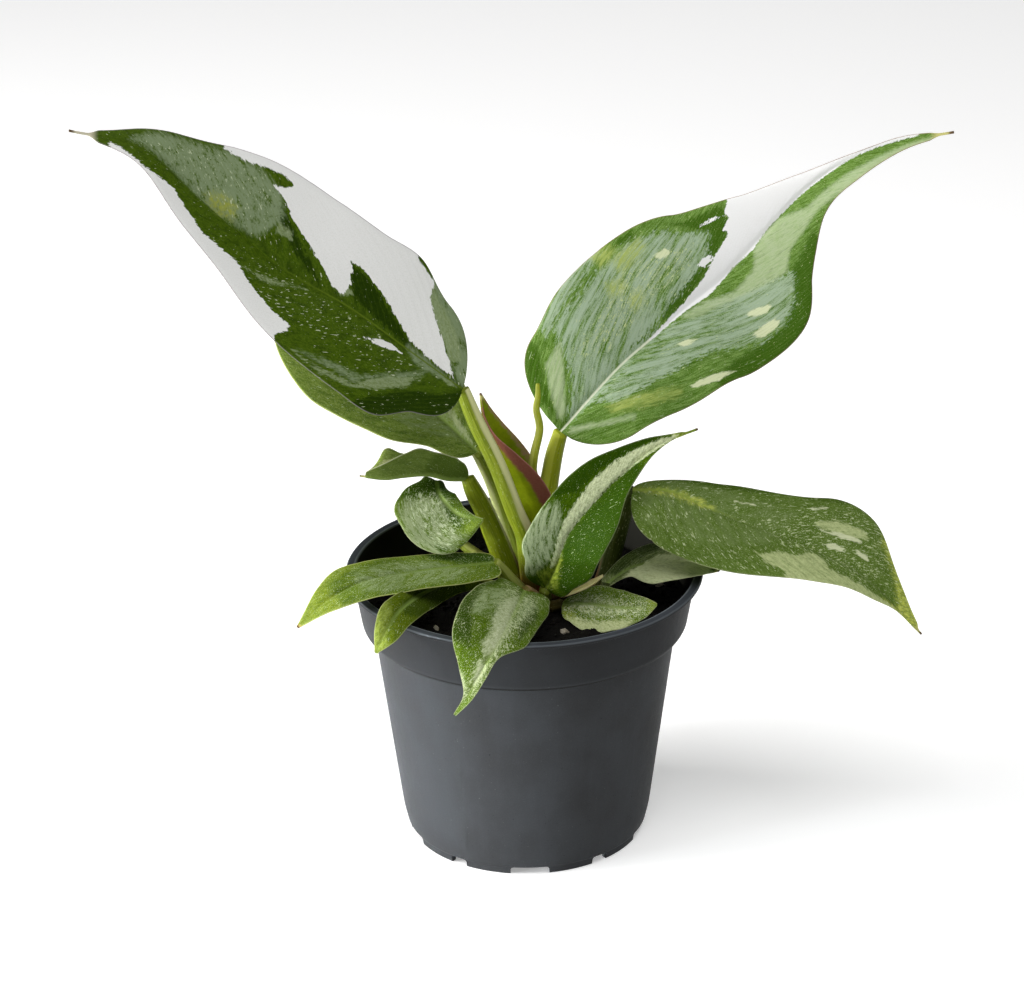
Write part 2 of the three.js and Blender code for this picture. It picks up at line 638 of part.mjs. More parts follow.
addMesh("pot", potSolid(), COLOURS.pot, 0.45);
grow("crown", crownBody, COLOURS.crown, 0.8);
for (const [name, leaf] of Object.entries(LEAVES)) {
  grow(`leaf_${name}`, (gap) => bladeGeometry(leaf, gap), LEAF_COLOURS[name] ?? COLOURS.green, 0.4);
}
grow("sheath", (gap) => bladeGeometry(SHEATH, gap), COLOURS.sheath, 0.45);
for (const [name, leaf] of Object.entries(LEAVES)) {
  grow(`petiole_${name}`, (gap) => stalkGeometry(leaf.stalk, gap), COLOURS.stalk, 0.45);
}
grow("young_leaf", (gap) => stalkGeometry(YOUNG_LEAF, gap), COLOURS.youngLeaf, 0.4);
grow("scale_leaf", (gap) => bladeGeometry(SCALE_LEAF, gap), COLOURS.scaleLeaf, 0.5);
PERLITE.forEach((grain, i) => {
  grow(`perlite_${i + 1}`, (gap) => perliteGrain(grain, gap), COLOURS.perlite, 0.9);
});
addMesh("soil", largestPiece(cutClear(toSolid(soilPlug()), placed)), COLOURS.soil, 0.95);

export default plant;
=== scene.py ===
"""Looks for the potted white princess philodendron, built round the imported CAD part."""
import math
from types import SimpleNamespace

import bmesh
import bpy
import numpy as np
from mathutils import Matrix, Vector


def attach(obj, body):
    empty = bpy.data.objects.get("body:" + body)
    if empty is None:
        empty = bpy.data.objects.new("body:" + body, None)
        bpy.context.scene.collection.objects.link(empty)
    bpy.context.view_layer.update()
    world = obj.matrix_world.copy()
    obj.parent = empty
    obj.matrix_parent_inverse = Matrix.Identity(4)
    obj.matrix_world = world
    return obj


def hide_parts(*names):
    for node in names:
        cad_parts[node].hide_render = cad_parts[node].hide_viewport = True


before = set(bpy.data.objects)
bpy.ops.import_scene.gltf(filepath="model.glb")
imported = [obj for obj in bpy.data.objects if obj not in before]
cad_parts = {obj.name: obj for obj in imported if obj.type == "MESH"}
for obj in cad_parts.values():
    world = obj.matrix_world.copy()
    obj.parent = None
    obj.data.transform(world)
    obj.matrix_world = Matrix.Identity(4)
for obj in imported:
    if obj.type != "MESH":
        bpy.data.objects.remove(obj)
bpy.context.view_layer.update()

# Plant lengths are in millimetres, as in the part's source, and turn into metres in each mesh
MM = 0.001

# Camera: fitted to the pot's rim, collar and foot
CAMERA_ELEVATION = math.radians(23.868)
CAMERA_ROLL = math.radians(-0.687)
CAMERA_DISTANCE = 1200.12
CAMERA_AIM = (-3.875, 0, 119.087)
CAMERA_LENS = 126.67
SENSOR_WIDTH = 36

# Pot
POT_SEGMENTS = 192
POT_HEIGHT = 95
LIP_RADIUS = 60
LIP_DEPTH = 1.3
LIP_INNER_RADIUS = 57
COLLAR_TOP_RADIUS = 57.6
COLLAR_FOOT_RADIUS = 54.6
COLLAR_FOOT_HEIGHT = 75.6
WALL_TOP_RADIUS = 51.1
WALL_FOOT_RADIUS = 42.3
WALL_FOOT_HEIGHT = 8.2
WALL = 1.2
FOOT_RADIUS = 40.2
FOOT_INNER_RADIUS = 38.2
FOOT_HEIGHT = 2.7
FLOOR_TOP = 4.4
NOTCH_PAIRS = 5
WIDE_NOTCH = 13
NARROW_NOTCH = 6
NOTCH_REACH = 12
NOTCH_ROUNDING = 1.1
FIRST_NOTCH_ANGLE = -89
DRAIN_HOLES = 8
DRAIN_RADIUS = 4
DRAIN_DEPTH = 8
DRAIN_SIDES = 32
DRAIN_CIRCLE_RADIUS = 28
SHARP_EDGE = math.radians(35)

# Soil and crown
SOIL_SEGMENTS = 160
SOIL_RINGS = 72
SOIL_LEVEL = 83.5
SOIL_RADIUS = 54.1
SOIL_CRUMB = 0.7
LOOSE_CRUMBS = 1500
SMALLEST_CRUMB = 0.3
LARGEST_CRUMB = 1.5
PLACES_SEED = 7
CRUMBS_SEED = 8
PERLITE_SEED = 3
PERLITE = [(12.8, -26, 1.6), (-29.5, -22, 1.4), (46, 9, 1.5)]
CROWN_CENTRE = (5, -2)
CROWN_RADIUS = 9
CROWN_FOOT = 78
CROWN_TOP = 91.5
CROWN_RINGS = 40
CROWN_SIDES = 64
LOW_LEAF_PLACE = (30, -28)
LOW_LEAF_REACH = 19

# Floor
FLOOR_SIZE = 12000
FLOOR_GLOW = 0.34

# Stalks: sides, distance between rings and depth of the channel
STALK_SHAPE = (28, 1.6, 0.12)
YOUNG_SHAPE = (24, 0.9, 0.3)

# Blades: rows along and columns across, thicknesses in the middle, depths of the midrib's groove
LARGE_GRID = (150, 61)
SMALL_GRID = (100, 41)
SHEATH_GRID = (110, 49)
SCALE_GRID = (50, 25)
BLADE_THICKNESS = 0.5
SHEATH_THICKNESS = 0.6
SCALE_THICKNESS = 0.45
GROOVE_ABOVE = 0.45
GROOVE_BELOW = 0.9

# Forms of all blades: shares of the length over which the base rounds off, its lobes fade and the
# tip narrows to its thread, half widths, and the usual curl from the fold to the margin in degrees
BASE_ROUNDING = 0.1
LOBE_SHARE = 0.3
DRIP_TAPER = 0.025
THREAD_HALF_WIDTH = 0.45
END_HALF_WIDTH = 0.5
FULL_TILT_WIDTH = 4
USUAL_CURL = [-14, -18, -10]

# Distances from the patches' edges are held within this reach; noise differs between a leaf's sides
PATCH_REACH = 9
SIDE_SHIFT = 60
# the kinds of patch: those of the variegation, and the painted sheen
ZONE_KINDS = ("white", "pale", "mist", "lime", "dark", "fleck", "cream")

LARGE_LEAVES = ("upper_left", "upper_right", "behind_left", "right_drooping")
LEAF_SLOTS = {"upper_left": "leaf_variegated", "upper_right": "leaf_variegated",
              "left_low": "leaf_yellow_green"}

# Leaves: points of the midrib, directions that the upper face looks in, half widths on either side
# from base to tip, fold and curl in degrees, how far the base lobes reach back, where the thread of
# the tip starts, and the stalk as points with a radius; slant and pleat are those of the side veins
LEAVES = {
    "upper_left": dict(
        midrib=[[-19.5, -8, 163], [-36.5, -11, 178], [-55, -15, 194.5], [-77.5, -19, 211],
                [-100.5, -24, 235.5], [-117.5, -28, 253.5], [-139.5, -32, 260.5]],
        facing=[[0.65, -0.44, 0.62], [0.64, -0.55, 0.54], [0.3, -0.47, 0.83]],
        left=[24, 25.5, 38, 38, 34, 28.5, 22, 18, 12.5, 6],
        right=[24, 24, 31, 29.5, 30.5, 30.5, 27.5, 20.5, 11.5, 3.5],
        fold=[16, 22, 18], lobe=-1.5, drip=0.94,
        stalk=[[4, -5, 84, 4.4], [2, -8, 101, 4], [0.5, -10, 111.5, 3.6], [-3, -11, 121, 3.3],
               [-8.5, -10.5, 137, 3.1], [-15.5, -9, 152.5, 2.9], [-19.5, -8, 163, 2.4]]),
    "behind_left": dict(
        midrib=[[-15, 2, 136.5], [-25, 11, 143], [-39.5, 24, 151], [-56.5, 39, 159.5], [-74, 56, 166],
                [-88.5, 71, 171]],
        facing=[[0.16, -0.46, 0.87], [0.06, -0.45, 0.89], [-0.03, -0.41, 0.91]],
        left=[11.5, 11.5, 19.5, 23, 25.5, 27, 25, 21, 15, 9],
        right=[9, 9, 15, 20, 24, 26, 26, 23, 17.5, 10],
        fold=[8, 8, 18], curl=[-12, -16, -10], lobe=1, drip=0.97,
        stalk=[[2, 2, 82, 4], [-1.5, 8, 94.5, 3.8], [-5.5, 9, 108.5, 3.5], [-9.5, 8, 122.5, 3],
               [-14, 4, 134, 2.4], [-15, 2, 136.5, 2.2]]),
    "upper_right": dict(
        midrib=[[12.5, 4, 142.5], [23, 7, 154], [33, 10, 164], [43.5, 13, 172.5], [53.5, 15, 181.5],
                [67.5, 17, 192.5], [80.5, 18, 207], [93, 18, 221], [107, 16, 232], [123, 13, 239],
                [139.5, 8, 243.5]],
        facing=[[-0.32, -0.81, 0.49], [-0.3, -0.9, 0.33], [-0.35, -0.75, 0.56]],
        left=[28, 28, 33, 33.5, 30, 23, 13, 5, 1.5, 1.5],
        right=[19, 21.5, 26, 29, 32, 31, 18.5, 10, 7.5, 3.5],
        fold=[19, 13, 24], curl=[-12, -16, -8], lobe=-1, drip=0.95, slant=1.5, pleat=0.16,
        stalk=[[8, 3, 83, 3.8], [7.5, 5, 99, 3.4], [8, 6, 117, 3.1], [10, 5.5, 132, 2.9],
               [12.5, 4, 142.5, 2.4]]),
    "front_folded": dict(
        midrib=[[7, -12, 93], [10.5, -15.5, 102.5], [15.5, -18, 116.5], [26, -19, 130], [38, -18, 142],
                [47, -16.5, 147.5], [57, -14, 150.5]],
        facing=[[-0.39, -0.89, -0.22], [-0.33, -0.91, 0.26], [0.05, -0.8, 0.59]],
        left=[10, 10, 13.5, 13, 13, 13, 11.5, 8, 4.5, 1.5],
        right=[9.5, 9.5, 15, 16, 15.5, 13, 7.5, 4.5, 2, 0.5],
        fold=[29, 34, 30], curl=[-10, -14, -6], drip=0.93,
        stalk=[[6.5, -6, 83, 2.8], [6.5, -9.5, 88.5, 2.6], [7, -12, 93, 2]]),
    "right_drooping": dict(
        midrib=[[36.5, 8, 119.5], [49.5, 5, 120], [63, 0, 115.5], [80, -5, 110], [98, -10, 104],
                [114.5, -14, 95.5], [132, -18, 77]],
        facing=[[-0.16, -0.4, 0.9], [0.16, -0.41, 0.9], [0.55, -0.56, 0.62]],
        left=[5, 5, 10, 14.5, 17.5, 20.5, 24, 21, 10.5, 4.5],
        right=[21, 21.5, 23.5, 24, 22.5, 19, 15, 11, 7.5, 1.5],
        fold=[4, 12, 27], curl=[-16, -20, -10], lobe=0.5, drip=0.965, pleat=0.16,
        stalk=[[25.5, 3, 76, 3.8], [26.5, 6, 83.5, 3.6], [28.5, 9, 90, 3.3], [31, 11, 99.5, 3.1],
               [34, 10.5, 110.5, 2.8], [36.5, 8, 119.5, 2.2]]),
    "right_low": dict(
        midrib=[[27.5, -2, 89.5], [36, 1, 94], [46, -1, 97], [56, -6, 99], [65, -10, 97.5]],
        facing=[[-0.3, -0.38, 0.87], [-0.3, -0.15, 0.94], [0.09, -0.23, 0.97]],
        left=[3, 4, 6, 8.5, 10, 10, 9, 7.5, 5, 2.5],
        right=[2.5, 2.5, 4.5, 8.5, 11.5, 13.5, 14, 13, 10.5, 6],
        fold=[12, 11, 11], curl=[-10, -14, -8], lobe=3,
        stalk=[[25, -10, 76, 2.4], [26, -6, 84.5, 2.2], [27.5, -2, 89.5, 1.8]]),
    "front_right": dict(
        midrib=[[12.5, -12, 87], [20, -16, 89], [29, -20, 89.5], [36.5, -24, 91], [43.5, -26, 93]],
        facing=[[-0.45, -0.48, 0.76], [-0.31, -0.51, 0.8], [-0.37, -0.57, 0.73]],
        left=[3, 3, 5, 7, 7.5, 7, 6.5, 5.5, 4.5, 3],
        right=[6.5, 6.5, 8.5, 10, 10, 10, 9, 8, 6, 4],
        fold=[9, 8, 10], lobe=-0.5,
        stalk=[[7, -7, 83, 2.2], [9.5, -10.5, 85.5, 2], [12.5, -12, 87, 1.7]]),
    "front_drooping": dict(
        midrib=[[0, -15, 93.5], [-3.5, -42, 99], [-7, -60, 100], [-11, -67.5, 96.5], [-15, -70, 90],
                [-19, -70.5, 82.5], [-23, -70.5, 76]],
        facing=[[0.38, 0.12, 0.92], [0.47, -0.11, 0.87], [-0.21, -0.97, 0.1]],
        left=[9.5, 9.5, 10.5, 10, 9.5, 9, 8, 3, 2.5, 2],
        right=[10, 10, 12.5, 14.5, 15.5, 16.5, 16.5, 14.5, 7.5, 1.5],
        fold=[13, 9, 13], lobe=6.5,
        stalk=[[5, -8, 85.5, 2.6], [2, -12.5, 90.5, 2.4], [0, -15, 93.5, 2]]),
    "left_long": dict(
        midrib=[[-10, -12, 102.5], [-23, -17, 103.5], [-38, -21, 103.5], [-52.5, -26, 103],
                [-64.5, -32, 99], [-74.5, -37, 91.5]],
        facing=[[0.2, -0.22, 0.95], [0.06, -0.24, 0.97], [-0.37, -0.48, 0.8]],
        left=[8.5, 8.5, 9.5, 9.5, 9.5, 10, 9.5, 8.5, 6.5, 3.5],
        right=[6, 6, 7.5, 8, 8.5, 9, 9, 9.5, 7, 3.5],
        fold=[8, 9, 11], lobe=4,
        stalk=[[2, -7, 86, 2.6], [-3, -10, 93, 2.4], [-7, -11, 98.5, 2.2], [-10, -12, 102.5, 2]]),
    "left_low": dict(
        midrib=[[-15.5, -2, 92.5], [-24, -8, 94], [-33, -21, 96], [-40, -39.5, 99.3], [-44.5, -48, 96.5],
                [-48.5, -51.5, 89]],
        facing=[[0.5, -0.67, 0.55], [0.69, -0.12, 0.71], [-0.18, -0.89, 0.43]],
        left=[4.5, 4.5, 5, 5.5, 6, 6, 6, 6, 5.5, 4.5],
        right=[4.5, 4.5, 4.5, 4, 3.5, 4, 4.5, 5, 5.5, 3.5],
        fold=[10, 10, 10], curl=[-12, -16, -10], lobe=2,
        stalk=[[-1.5, -2, 83, 2.4], [-8.5, -2, 87.5, 2.1], [-15.5, -2, 92.5, 1.6]]),
    "left_curled": dict(
        midrib=[[-18.5, 0, 128], [-25, -3, 129.5], [-31.5, -6, 132.5], [-39, -8, 133],
                [-46.5, -9, 132.5], [-54, -8, 132.5]],
        facing=[[0.06, 0.26, 0.96], [-0.07, 0.27, 0.96], [0.07, 0.05, 1]],
        left=[4.5, 7, 8.5, 8.5, 9, 11, 10, 8.5, 7, 4.5],
        right=[4.5, 7, 8.5, 9, 8.5, 8, 8, 10.5, 9, 3.5],
        fold=[62, 64, 51], curl=[-16, -18, -10], drip=0.93,
        stalk=[[-1, -3, 86, 4.2], [-5, -3, 94.5, 4], [-9, -2.5, 106, 3.6], [-13, -1, 116, 3.2],
               [-16.5, 0, 123, 2.9], [-18.5, 0, 128, 2.2]]),
    "left_round": dict(
        midrib=[[-29, 5, 125], [-28.5, -1, 124], [-26.5, -6, 122.5], [-22.5, -9, 119.5],
                [-18, -11, 118.5], [-13.5, -12, 118]],
        facing=[[0.39, -0.07, 0.92], [-0.07, -0.71, 0.7], [-0.15, -0.9, 0.4]],
        left=[3, 3, 4, 5, 5, 4.5, 4, 3, 2, 1],
        right=[5.5, 5.5, 11.5, 16, 16.5, 17, 16.5, 14.5, 11.5, 6],
        fold=[4, 4, 9], curl=[-20, -25, -15], lobe=3.5,
        stalk=[[-2, 1, 84, 2.4], [-8, 3, 93, 2.2], [-15.5, 6, 97, 2], [-23, 9, 102.5, 1.8],
               [-27.5, 9, 113, 1.7], [-29, 5.5, 124, 1.4]]),
}

SHEATH = dict(
    midrib=[[2, 2, 86.5], [-1.5, 1, 105], [-5.5, -1, 120.5], [-9.5, -2.5, 137], [-12.5, -3, 150],
            [-14, -3, 159.5]],
    facing=[[0.85, 0.1, 0.35], [0.85, 0.1, 0.35], [0.8, 0.1, 0.5]],
    left=[10, 12, 13.5, 15, 16, 16, 13.5, 8.5, 2.5, 0.5],
    right=[3, 3.5, 5, 8, 11, 14, 13.5, 11, 7.5, 4],
    fold=[45, 50, 45], curl=[30, 25, 10])

SCALE_LEAF = dict(
    midrib=[[12, -4, 86], [17, -5, 88.5], [22, -5.5, 91], [26.5, -6, 94.5]],
    facing=[[-0.4, -0.3, 0.85], [-0.4, -0.5, 0.75], [-0.4, -0.5, 0.75]],
    left=[2, 2.5, 2.5, 2.5, 2.2, 2, 1.7, 1.4, 1.1, 0.8],
    right=[2, 2.5, 2.5, 2.5, 2.2, 2, 1.7, 1.4, 1.1, 0.8],
    fold=[25, 25, 20], curl=[10, 10, 5])

YOUNG_LEAF = [[5, 0.5, 86, 1.8], [4.5, 0.5, 105, 1.6], [3, -1, 125.5, 1.45], [3.5, -2, 136, 1.4],
              [5.5, -2, 146, 1.25], [4.5, -3, 153.5, 1.1], [5, -4, 158.5, 0.95], [5, -4, 163, 0.6]]

# How far side veins slant and sweep towards the tip, and the relief they and the midrib make
WIDE_RELIEF = dict(slant=0.75, forward=2.2, sweep=0.35, pleat=0.06, spacing=5.2, rib=1.1)
SMALL_RELIEF = dict(slant=1.5, forward=0.6, sweep=0.5, pleat=0.02, spacing=3.4, rib=0.7)
SHEATH_RELIEF = dict(slant=0, forward=0, sweep=0, pleat=0, spacing=3, rib=0.8)

# Variegation and painted sheen, drawn as outlines in hundredths of t along the leaf and of a across it
PATCHES = {
    "upper_left": dict(
        white=[
            [(71, 120), (71, 94), (66, 84), (58, 90), (54, 86), (55, 77), (58, 71), (54, 63), (50, 50),
             (46, 43), (43, 35), (39, 24), (36, 12), (33, 8), (32, 25), (33, 28), (33, 38), (34, 46),
             (31, 46), (26, 35), (23, 28), (19, 18), (15, 10), (8, 6), (3, 8), (7, 35), (12, 62),
             (15, 75), (15, 97), (21, 95), (23, 120)],
            [(93, -120), (92, -48), (88, -81), (85, -90), (82, -76), (76, -50), (72, -61), (67, -74),
             (62, -66), (57, -57), (54, -66), (50, -68), (47, -71), (43, -70), (43, -80), (45, -92),
             (44, -120)],
            [(27, -29), (23, -17), (20, -10), (16, -13), (21, -22)],
            [(16, 20), (12, 13), (6, 10), (9, 20)]],
        pale=[
            [(57, -58), (53, -46), (49, -32), (44, -16), (40, -10), (45, -22), (48, -37), (51, -45)],
            [(41, -94), (34, -90), (27, -83), (20, -57), (12, -41), (14, -61), (21, -73), (27, -88),
             (34, -95)],
            [(36, 12), (37, 20), (33, 22), (31, 14), (33, 6)],
            [(53, 36), (49, 40), (48, 30), (52, 28)],
            [(4, -20), (6, -10), (3, -2), (2, -12)],
            [(16, 90), (15, 72), (10, 50), (5, 25), (3, 50), (6, 75)]],
        mist=[
            [(85, 80), (70, 90), (62, 82), (56, 70), (52, 45), (55, 10), (65, -5), (75, 0), (88, 20)],
            [(23, 120), (15, 90), (14, 68), (8, 42), (2, 10), (0, 60), (0, 120)],
            [(40, -90), (27, -80), (12, -45), (10, -20), (13, -35), (25, -70)],
            [(14, -10), (12, -20), (2, -10), (2, 0), (10, 5), (15, 5)]],
        lime=[[(69, 8), (67, 24), (62, 24), (61, 6), (65, -6)]],
        dark=[
            [(30, -120), (25, -95), (13, -65), (5, -50), (0, -10), (0, -120)],
            [(34, 44), (33, 28), (30, 10), (14, 2), (16, 10), (30, 42)],
            [(55, 60), (48, 40), (40, 15), (38, 5), (48, 25), (56, 50)],
            [(24, 120), (16, 100), (5, 95), (0, 120)]],
        fleck=[
            [(60, -50), (50, -10), (20, -5), (12, -30), (15, -60), (45, -70)],
            [(85, 20), (60, 10), (55, 60), (65, 80), (85, 70)]]),
    "upper_right": dict(
        white=[
            [(56, -120), (56, -95), (54, -75), (54, -63), (51, -50), (52, -42), (48, -31), (46, -26),
             (40, -11), (35, -4), (25, -1), (25, 1), (35, 4), (40, 6), (43, 3), (47, -1), (52, 3),
             (57, -2), (67, 2), (74, 4), (80, -9), (93, -45), (98, -120)],
            [(47, -73), (52, -76), (53, -71), (50, -70)],
            [(42, -31), (46, -33), (45, -25), (42, -24)]],
        cream=[
            [(43, 45), (45, 47), (48, 58), (46, 60), (44, 52)],
            [(42, 67), (45, 66), (47, 73), (46, 77), (43, 76)],
            [(25, 77), (30, 82), (35, 91), (30, 92), (26, 84)],
            [(28, 26), (31, 31), (33, 39), (30, 37)],
            [(36, -62), (39, -64), (39, -56), (37, -54)]],
        pale=[
            [(33, 6), (39, 9), (44, 20), (50, 18), (53, 3), (57, -3), (60, 0), (66, 39), (81, 57),
             (90, 60), (97, 70), (97, 120), (77, 120), (74, 97), (68, 73), (63, 62), (58, 50), (54, 56),
             (49, 38), (43, 25), (35, 16)],
            [(13, -68), (11, -55), (8, -38), (4, -16), (2, -13), (2, -24), (5, -50), (8, -68)],
            [(2, 18), (7, 49), (13, 73), (12, 79), (7, 57), (1, 40)]],
        mist=[
            [(30, 4), (40, 13), (49, 35), (55, 66), (51, 75), (47, 81), (42, 78), (34, 59), (27, 53),
             (18, 46), (12, 41), (10, 16)],
            [(40, -82), (49, -58), (45, -33), (37, -17), (27, -7), (12, 0), (4, 0), (10, -35), (14, -83),
             (28, -84), (34, -88)],
            [(4, -16), (14, -8), (27, -4), (31, 4), (20, 12), (11, 12), (3, 2)],
            [(13, -120), (12, -85), (20, -88), (30, -95), (36, -120)]],
        lime=[
            [(10, 33), (16, 51), (24, 73), (23, 83), (15, 72), (10, 50)],
            [(28, -99), (32, -99), (32, -87), (28, -84)],
            [(31, -84), (36, -87), (36, -76), (33, -66), (30, -68)],
            [(26, -70), (30, -64), (29, -52), (25, -54)],
            [(28, -45), (31, -43), (30, -30), (27, -32)],
            [(78, 100), (88, 95), (97, 80), (97, 120), (80, 120)]],
        dark=[
            [(43, -88), (55, -92), (53, -54), (52, -42), (46, -26), (35, -2), (29, -5), (34, -18),
             (43, -29), (49, -58), (46, -78)],
            [(64, 81), (61, 120), (37, 120), (29, 95), (36, 80), (42, 80), (47, 81), (52, 73), (55, 62),
             (59, 72)],
            [(10, -120), (9, -82), (5, -60), (2, -30), (0, -120)],
            [(33, -98), (36, -98), (36, -88), (33, -90)]],
        fleck=[[(10, -40), (30, -70), (45, -60), (40, -30), (20, -20)]]),
    "front_folded": dict(
        pale=[[(12, -5), (18, -1), (48, -1), (57, -4), (65, 0), (74, 30), (87, 100), (92, -40),
               (81, -55), (65, -56), (54, -50), (42, -39), (37, -35), (31, -27), (25, -21), (12, -18)]],
        mist=[[(33, -120), (35, -94), (39, -80), (37, -53), (33, -37), (27, -27), (18, -23), (15, -28),
               (10, -50), (6, -70), (4, -120)]],
        lime=[
            [(0, -80), (8, -50), (12, -20), (20, -10), (20, 5), (11, 25), (5, 50), (0, 100)],
            [(90, -120), (90, 120), (100, 120), (100, -120)]],
        dark=[
            [(40, -120), (40, -90), (48, -55), (59, -60), (69, -59), (83, -62), (89, -120)],
            [(14, 2), (30, 4), (59, 6), (72, 20), (72, 80), (60, 120), (10, 120), (6, 62)]],
        fleck=[[(10, 20), (50, 30), (60, 90), (10, 90)]]),
    "right_drooping": dict(
        pale=[
            [(42, 52), (44, 57), (48, 42), (54, 39), (58, 15), (62, 24), (64, 48), (71, 62), (80, 66),
             (88, 78), (88, 120), (55, 120), (53, 84), (47, 72)],
            [(55, -45), (61, -59), (69, -68), (71, -59), (66, -41), (58, -37)]],
        cream=[
            [(57, -34), (63, -42), (70, -52), (70, -45), (64, -35)],
            [(60, -14), (63, -22), (67, -22), (66, -15), (62, -11)],
            [(69, -30), (73, -36), (74, -28), (70, -24)],
            [(30, -44), (36, -52), (37, -48), (31, -41)],
            [(52, -72), (57, -80), (57, -75), (53, -68)]],
        mist=[[(2, -80), (30, -70), (50, -60), (45, 30), (30, 70), (5, 80)]],
        lime=[
            [(0, -100), (11, -5), (20, -12), (26, -6), (24, 3), (16, 10), (6, 9)],
            [(72, -120), (75, -85), (86, -50), (89, 10), (83, 70), (78, 120), (100, 120), (100, -120)]],
        dark=[
            [(45, -120), (50, -90), (62, -95), (60, -120)],
            [(5, -120), (10, -70), (40, -90), (45, -120)]],
        fleck=[[(50, -60), (67, -99), (76, -99), (81, -61), (77, 66), (62, 44), (50, 30), (40, -10)]]),
    "right_low": dict(
        pale=[[(10, 120), (15, 90), (32, 9), (44, -30), (65, -36), (89, -11), (95, 60), (87, 120)]],
        dark=[[(0, -120), (10, 30), (30, -30), (45, -60), (90, -60), (90, -120)]]),
    "front_right": dict(
        pale=[[(8, 120), (10, 85), (23, 69), (45, 66), (60, 55), (78, 80), (70, 120)]],
        lime=[
            [(92, -120), (100, -120), (100, 120), (92, 120)],
            [(2, -20), (2, 120), (30, 120), (25, 80), (12, 40)]],
        mist=[[(10, -50), (50, -40), (70, 20), (40, 50), (10, 30)]],
        fleck=[[(5, -80), (90, -80), (90, 80), (5, 80)]]),
    "front_drooping": dict(
        pale=[
            [(14, 8), (22, 3), (42, -1), (57, -12), (69, -20), (72, 13), (68, 26), (63, 23), (55, 33),
             (42, 34), (28, 30)],
            [(75, 20), (75, -10), (80, -40), (85, -10), (80, 20)],
            [(80, 120), (83, 85), (87, 80), (93, 60), (95, 120)]],
        mist=[
            [(30, 85), (15, 40), (28, 30), (42, 36), (55, 50), (60, 75), (48, 80)],
            [(10, -10), (20, -60), (40, -40), (50, -30), (30, -10)]],
        dark=[
            [(10, 120), (10, 80), (30, 85), (60, 75), (72, 50), (74, 120)],
            [(10, -40), (35, -30), (50, -40), (60, -70), (30, -80)]],
        fleck=[[(5, -90), (90, -90), (90, 80), (5, 80)]]),
    "left_long": dict(
        mist=[[(65, 42), (51, 58), (34, 55), (23, 14), (12, -40), (21, -75), (57, -86), (67, -47)]],
        lime=[
            [(78, 120), (78, -120), (100, -120), (100, 120)],
            [(50, 120), (55, 90), (80, 70), (80, 120)]],
        dark=[[(30, 120), (30, 60), (17, 20), (4, 10), (0, 50), (5, 120)]]),
    "left_low": dict(
        lime=[[(70, 120), (78, 30), (90, -10), (100, -120), (100, 120)]],
        dark=[[(10, 30), (64, 31), (75, -30), (62, -120), (10, -120)]]),
    "left_curled": dict(
        lime=[[(60, 80), (68, 35), (80, 25), (100, -20), (100, 120), (60, 120)]],
        pale=[[(83, 56), (77, 61), (69, 54), (70, 35), (78, 28)]],
        dark=[[(0, -120), (0, 120), (35, 90), (45, 0), (35, -120)]]),
    "left_round": dict(
        mist=[[(33, 93), (27, 81), (34, 8), (45, -30), (56, 5), (63, 25), (73, 44), (85, 69), (76, 74),
               (67, 120), (41, 120)]],
        dark=[
            [(30, 120), (0, 120), (0, -120), (50, -90), (50, -50), (40, -10), (30, 30), (30, 60),
             (26, 85)],
            [(41, -8), (57, -30), (76, 10), (78, 29), (70, 30), (58, 18), (46, 8)],
            [(55, 69), (64, 70), (76, 79), (73, 100), (65, 92), (58, 82)]],
        lime=[[(80, 50), (82, 20), (95, 0), (100, 50), (92, 90)]],
        fleck=[[(20, -50), (80, -20), (80, 100), (20, 100)]]),
    "behind_left": dict(
        pale=[[(20, 40), (15, 39), (9, 32), (3, 18), (6, 5), (12, 14), (17, 21)]],
        mist=[[(5, -10), (20, -60), (50, -50), (40, 20), (10, 30)]]),
}

SHEATH_PATCHES = dict(
    white=[[(93, 0), (86, -120), (40, -120), (42, -76), (50, -70), (59, -67), (67, -55), (74, -49),
            (82, -38)]],
    pale=[[(50, 120), (55, 88), (75, 86), (90, 70), (100, 20), (100, 120)]])

# Colours and amounts of the leaf material, among them the painted sheen's tone; each leaf says only where
# it differs from the green look
GREEN_LOOK = dict(
    green=(72, 98, 22), second=(96, 120, 48), dark=(42, 68, 6), mist=(128, 146, 104),
    pale=(172, 188, 140), white=(236, 236, 234), cream=(206, 212, 172), lime=(160, 176, 66),
    fleck=(176, 190, 150), rib=(128, 150, 78), edge=(176, 178, 142), thread=(176, 172, 110),
    under=(92, 110, 52), rib_width=0.5, density=0.35, dashes=0.3, marble=0.2, more=0.6, gloss=0.42,
    sheen=0.05, under_share=0.55, rib_end=1, crisp=0.14, rim=0.35, tip=0.97, ragged=4, stretch=0.6,
    feather=0.6, mist_from=0.4, mist_soft=1.4, mist_ragged=6)

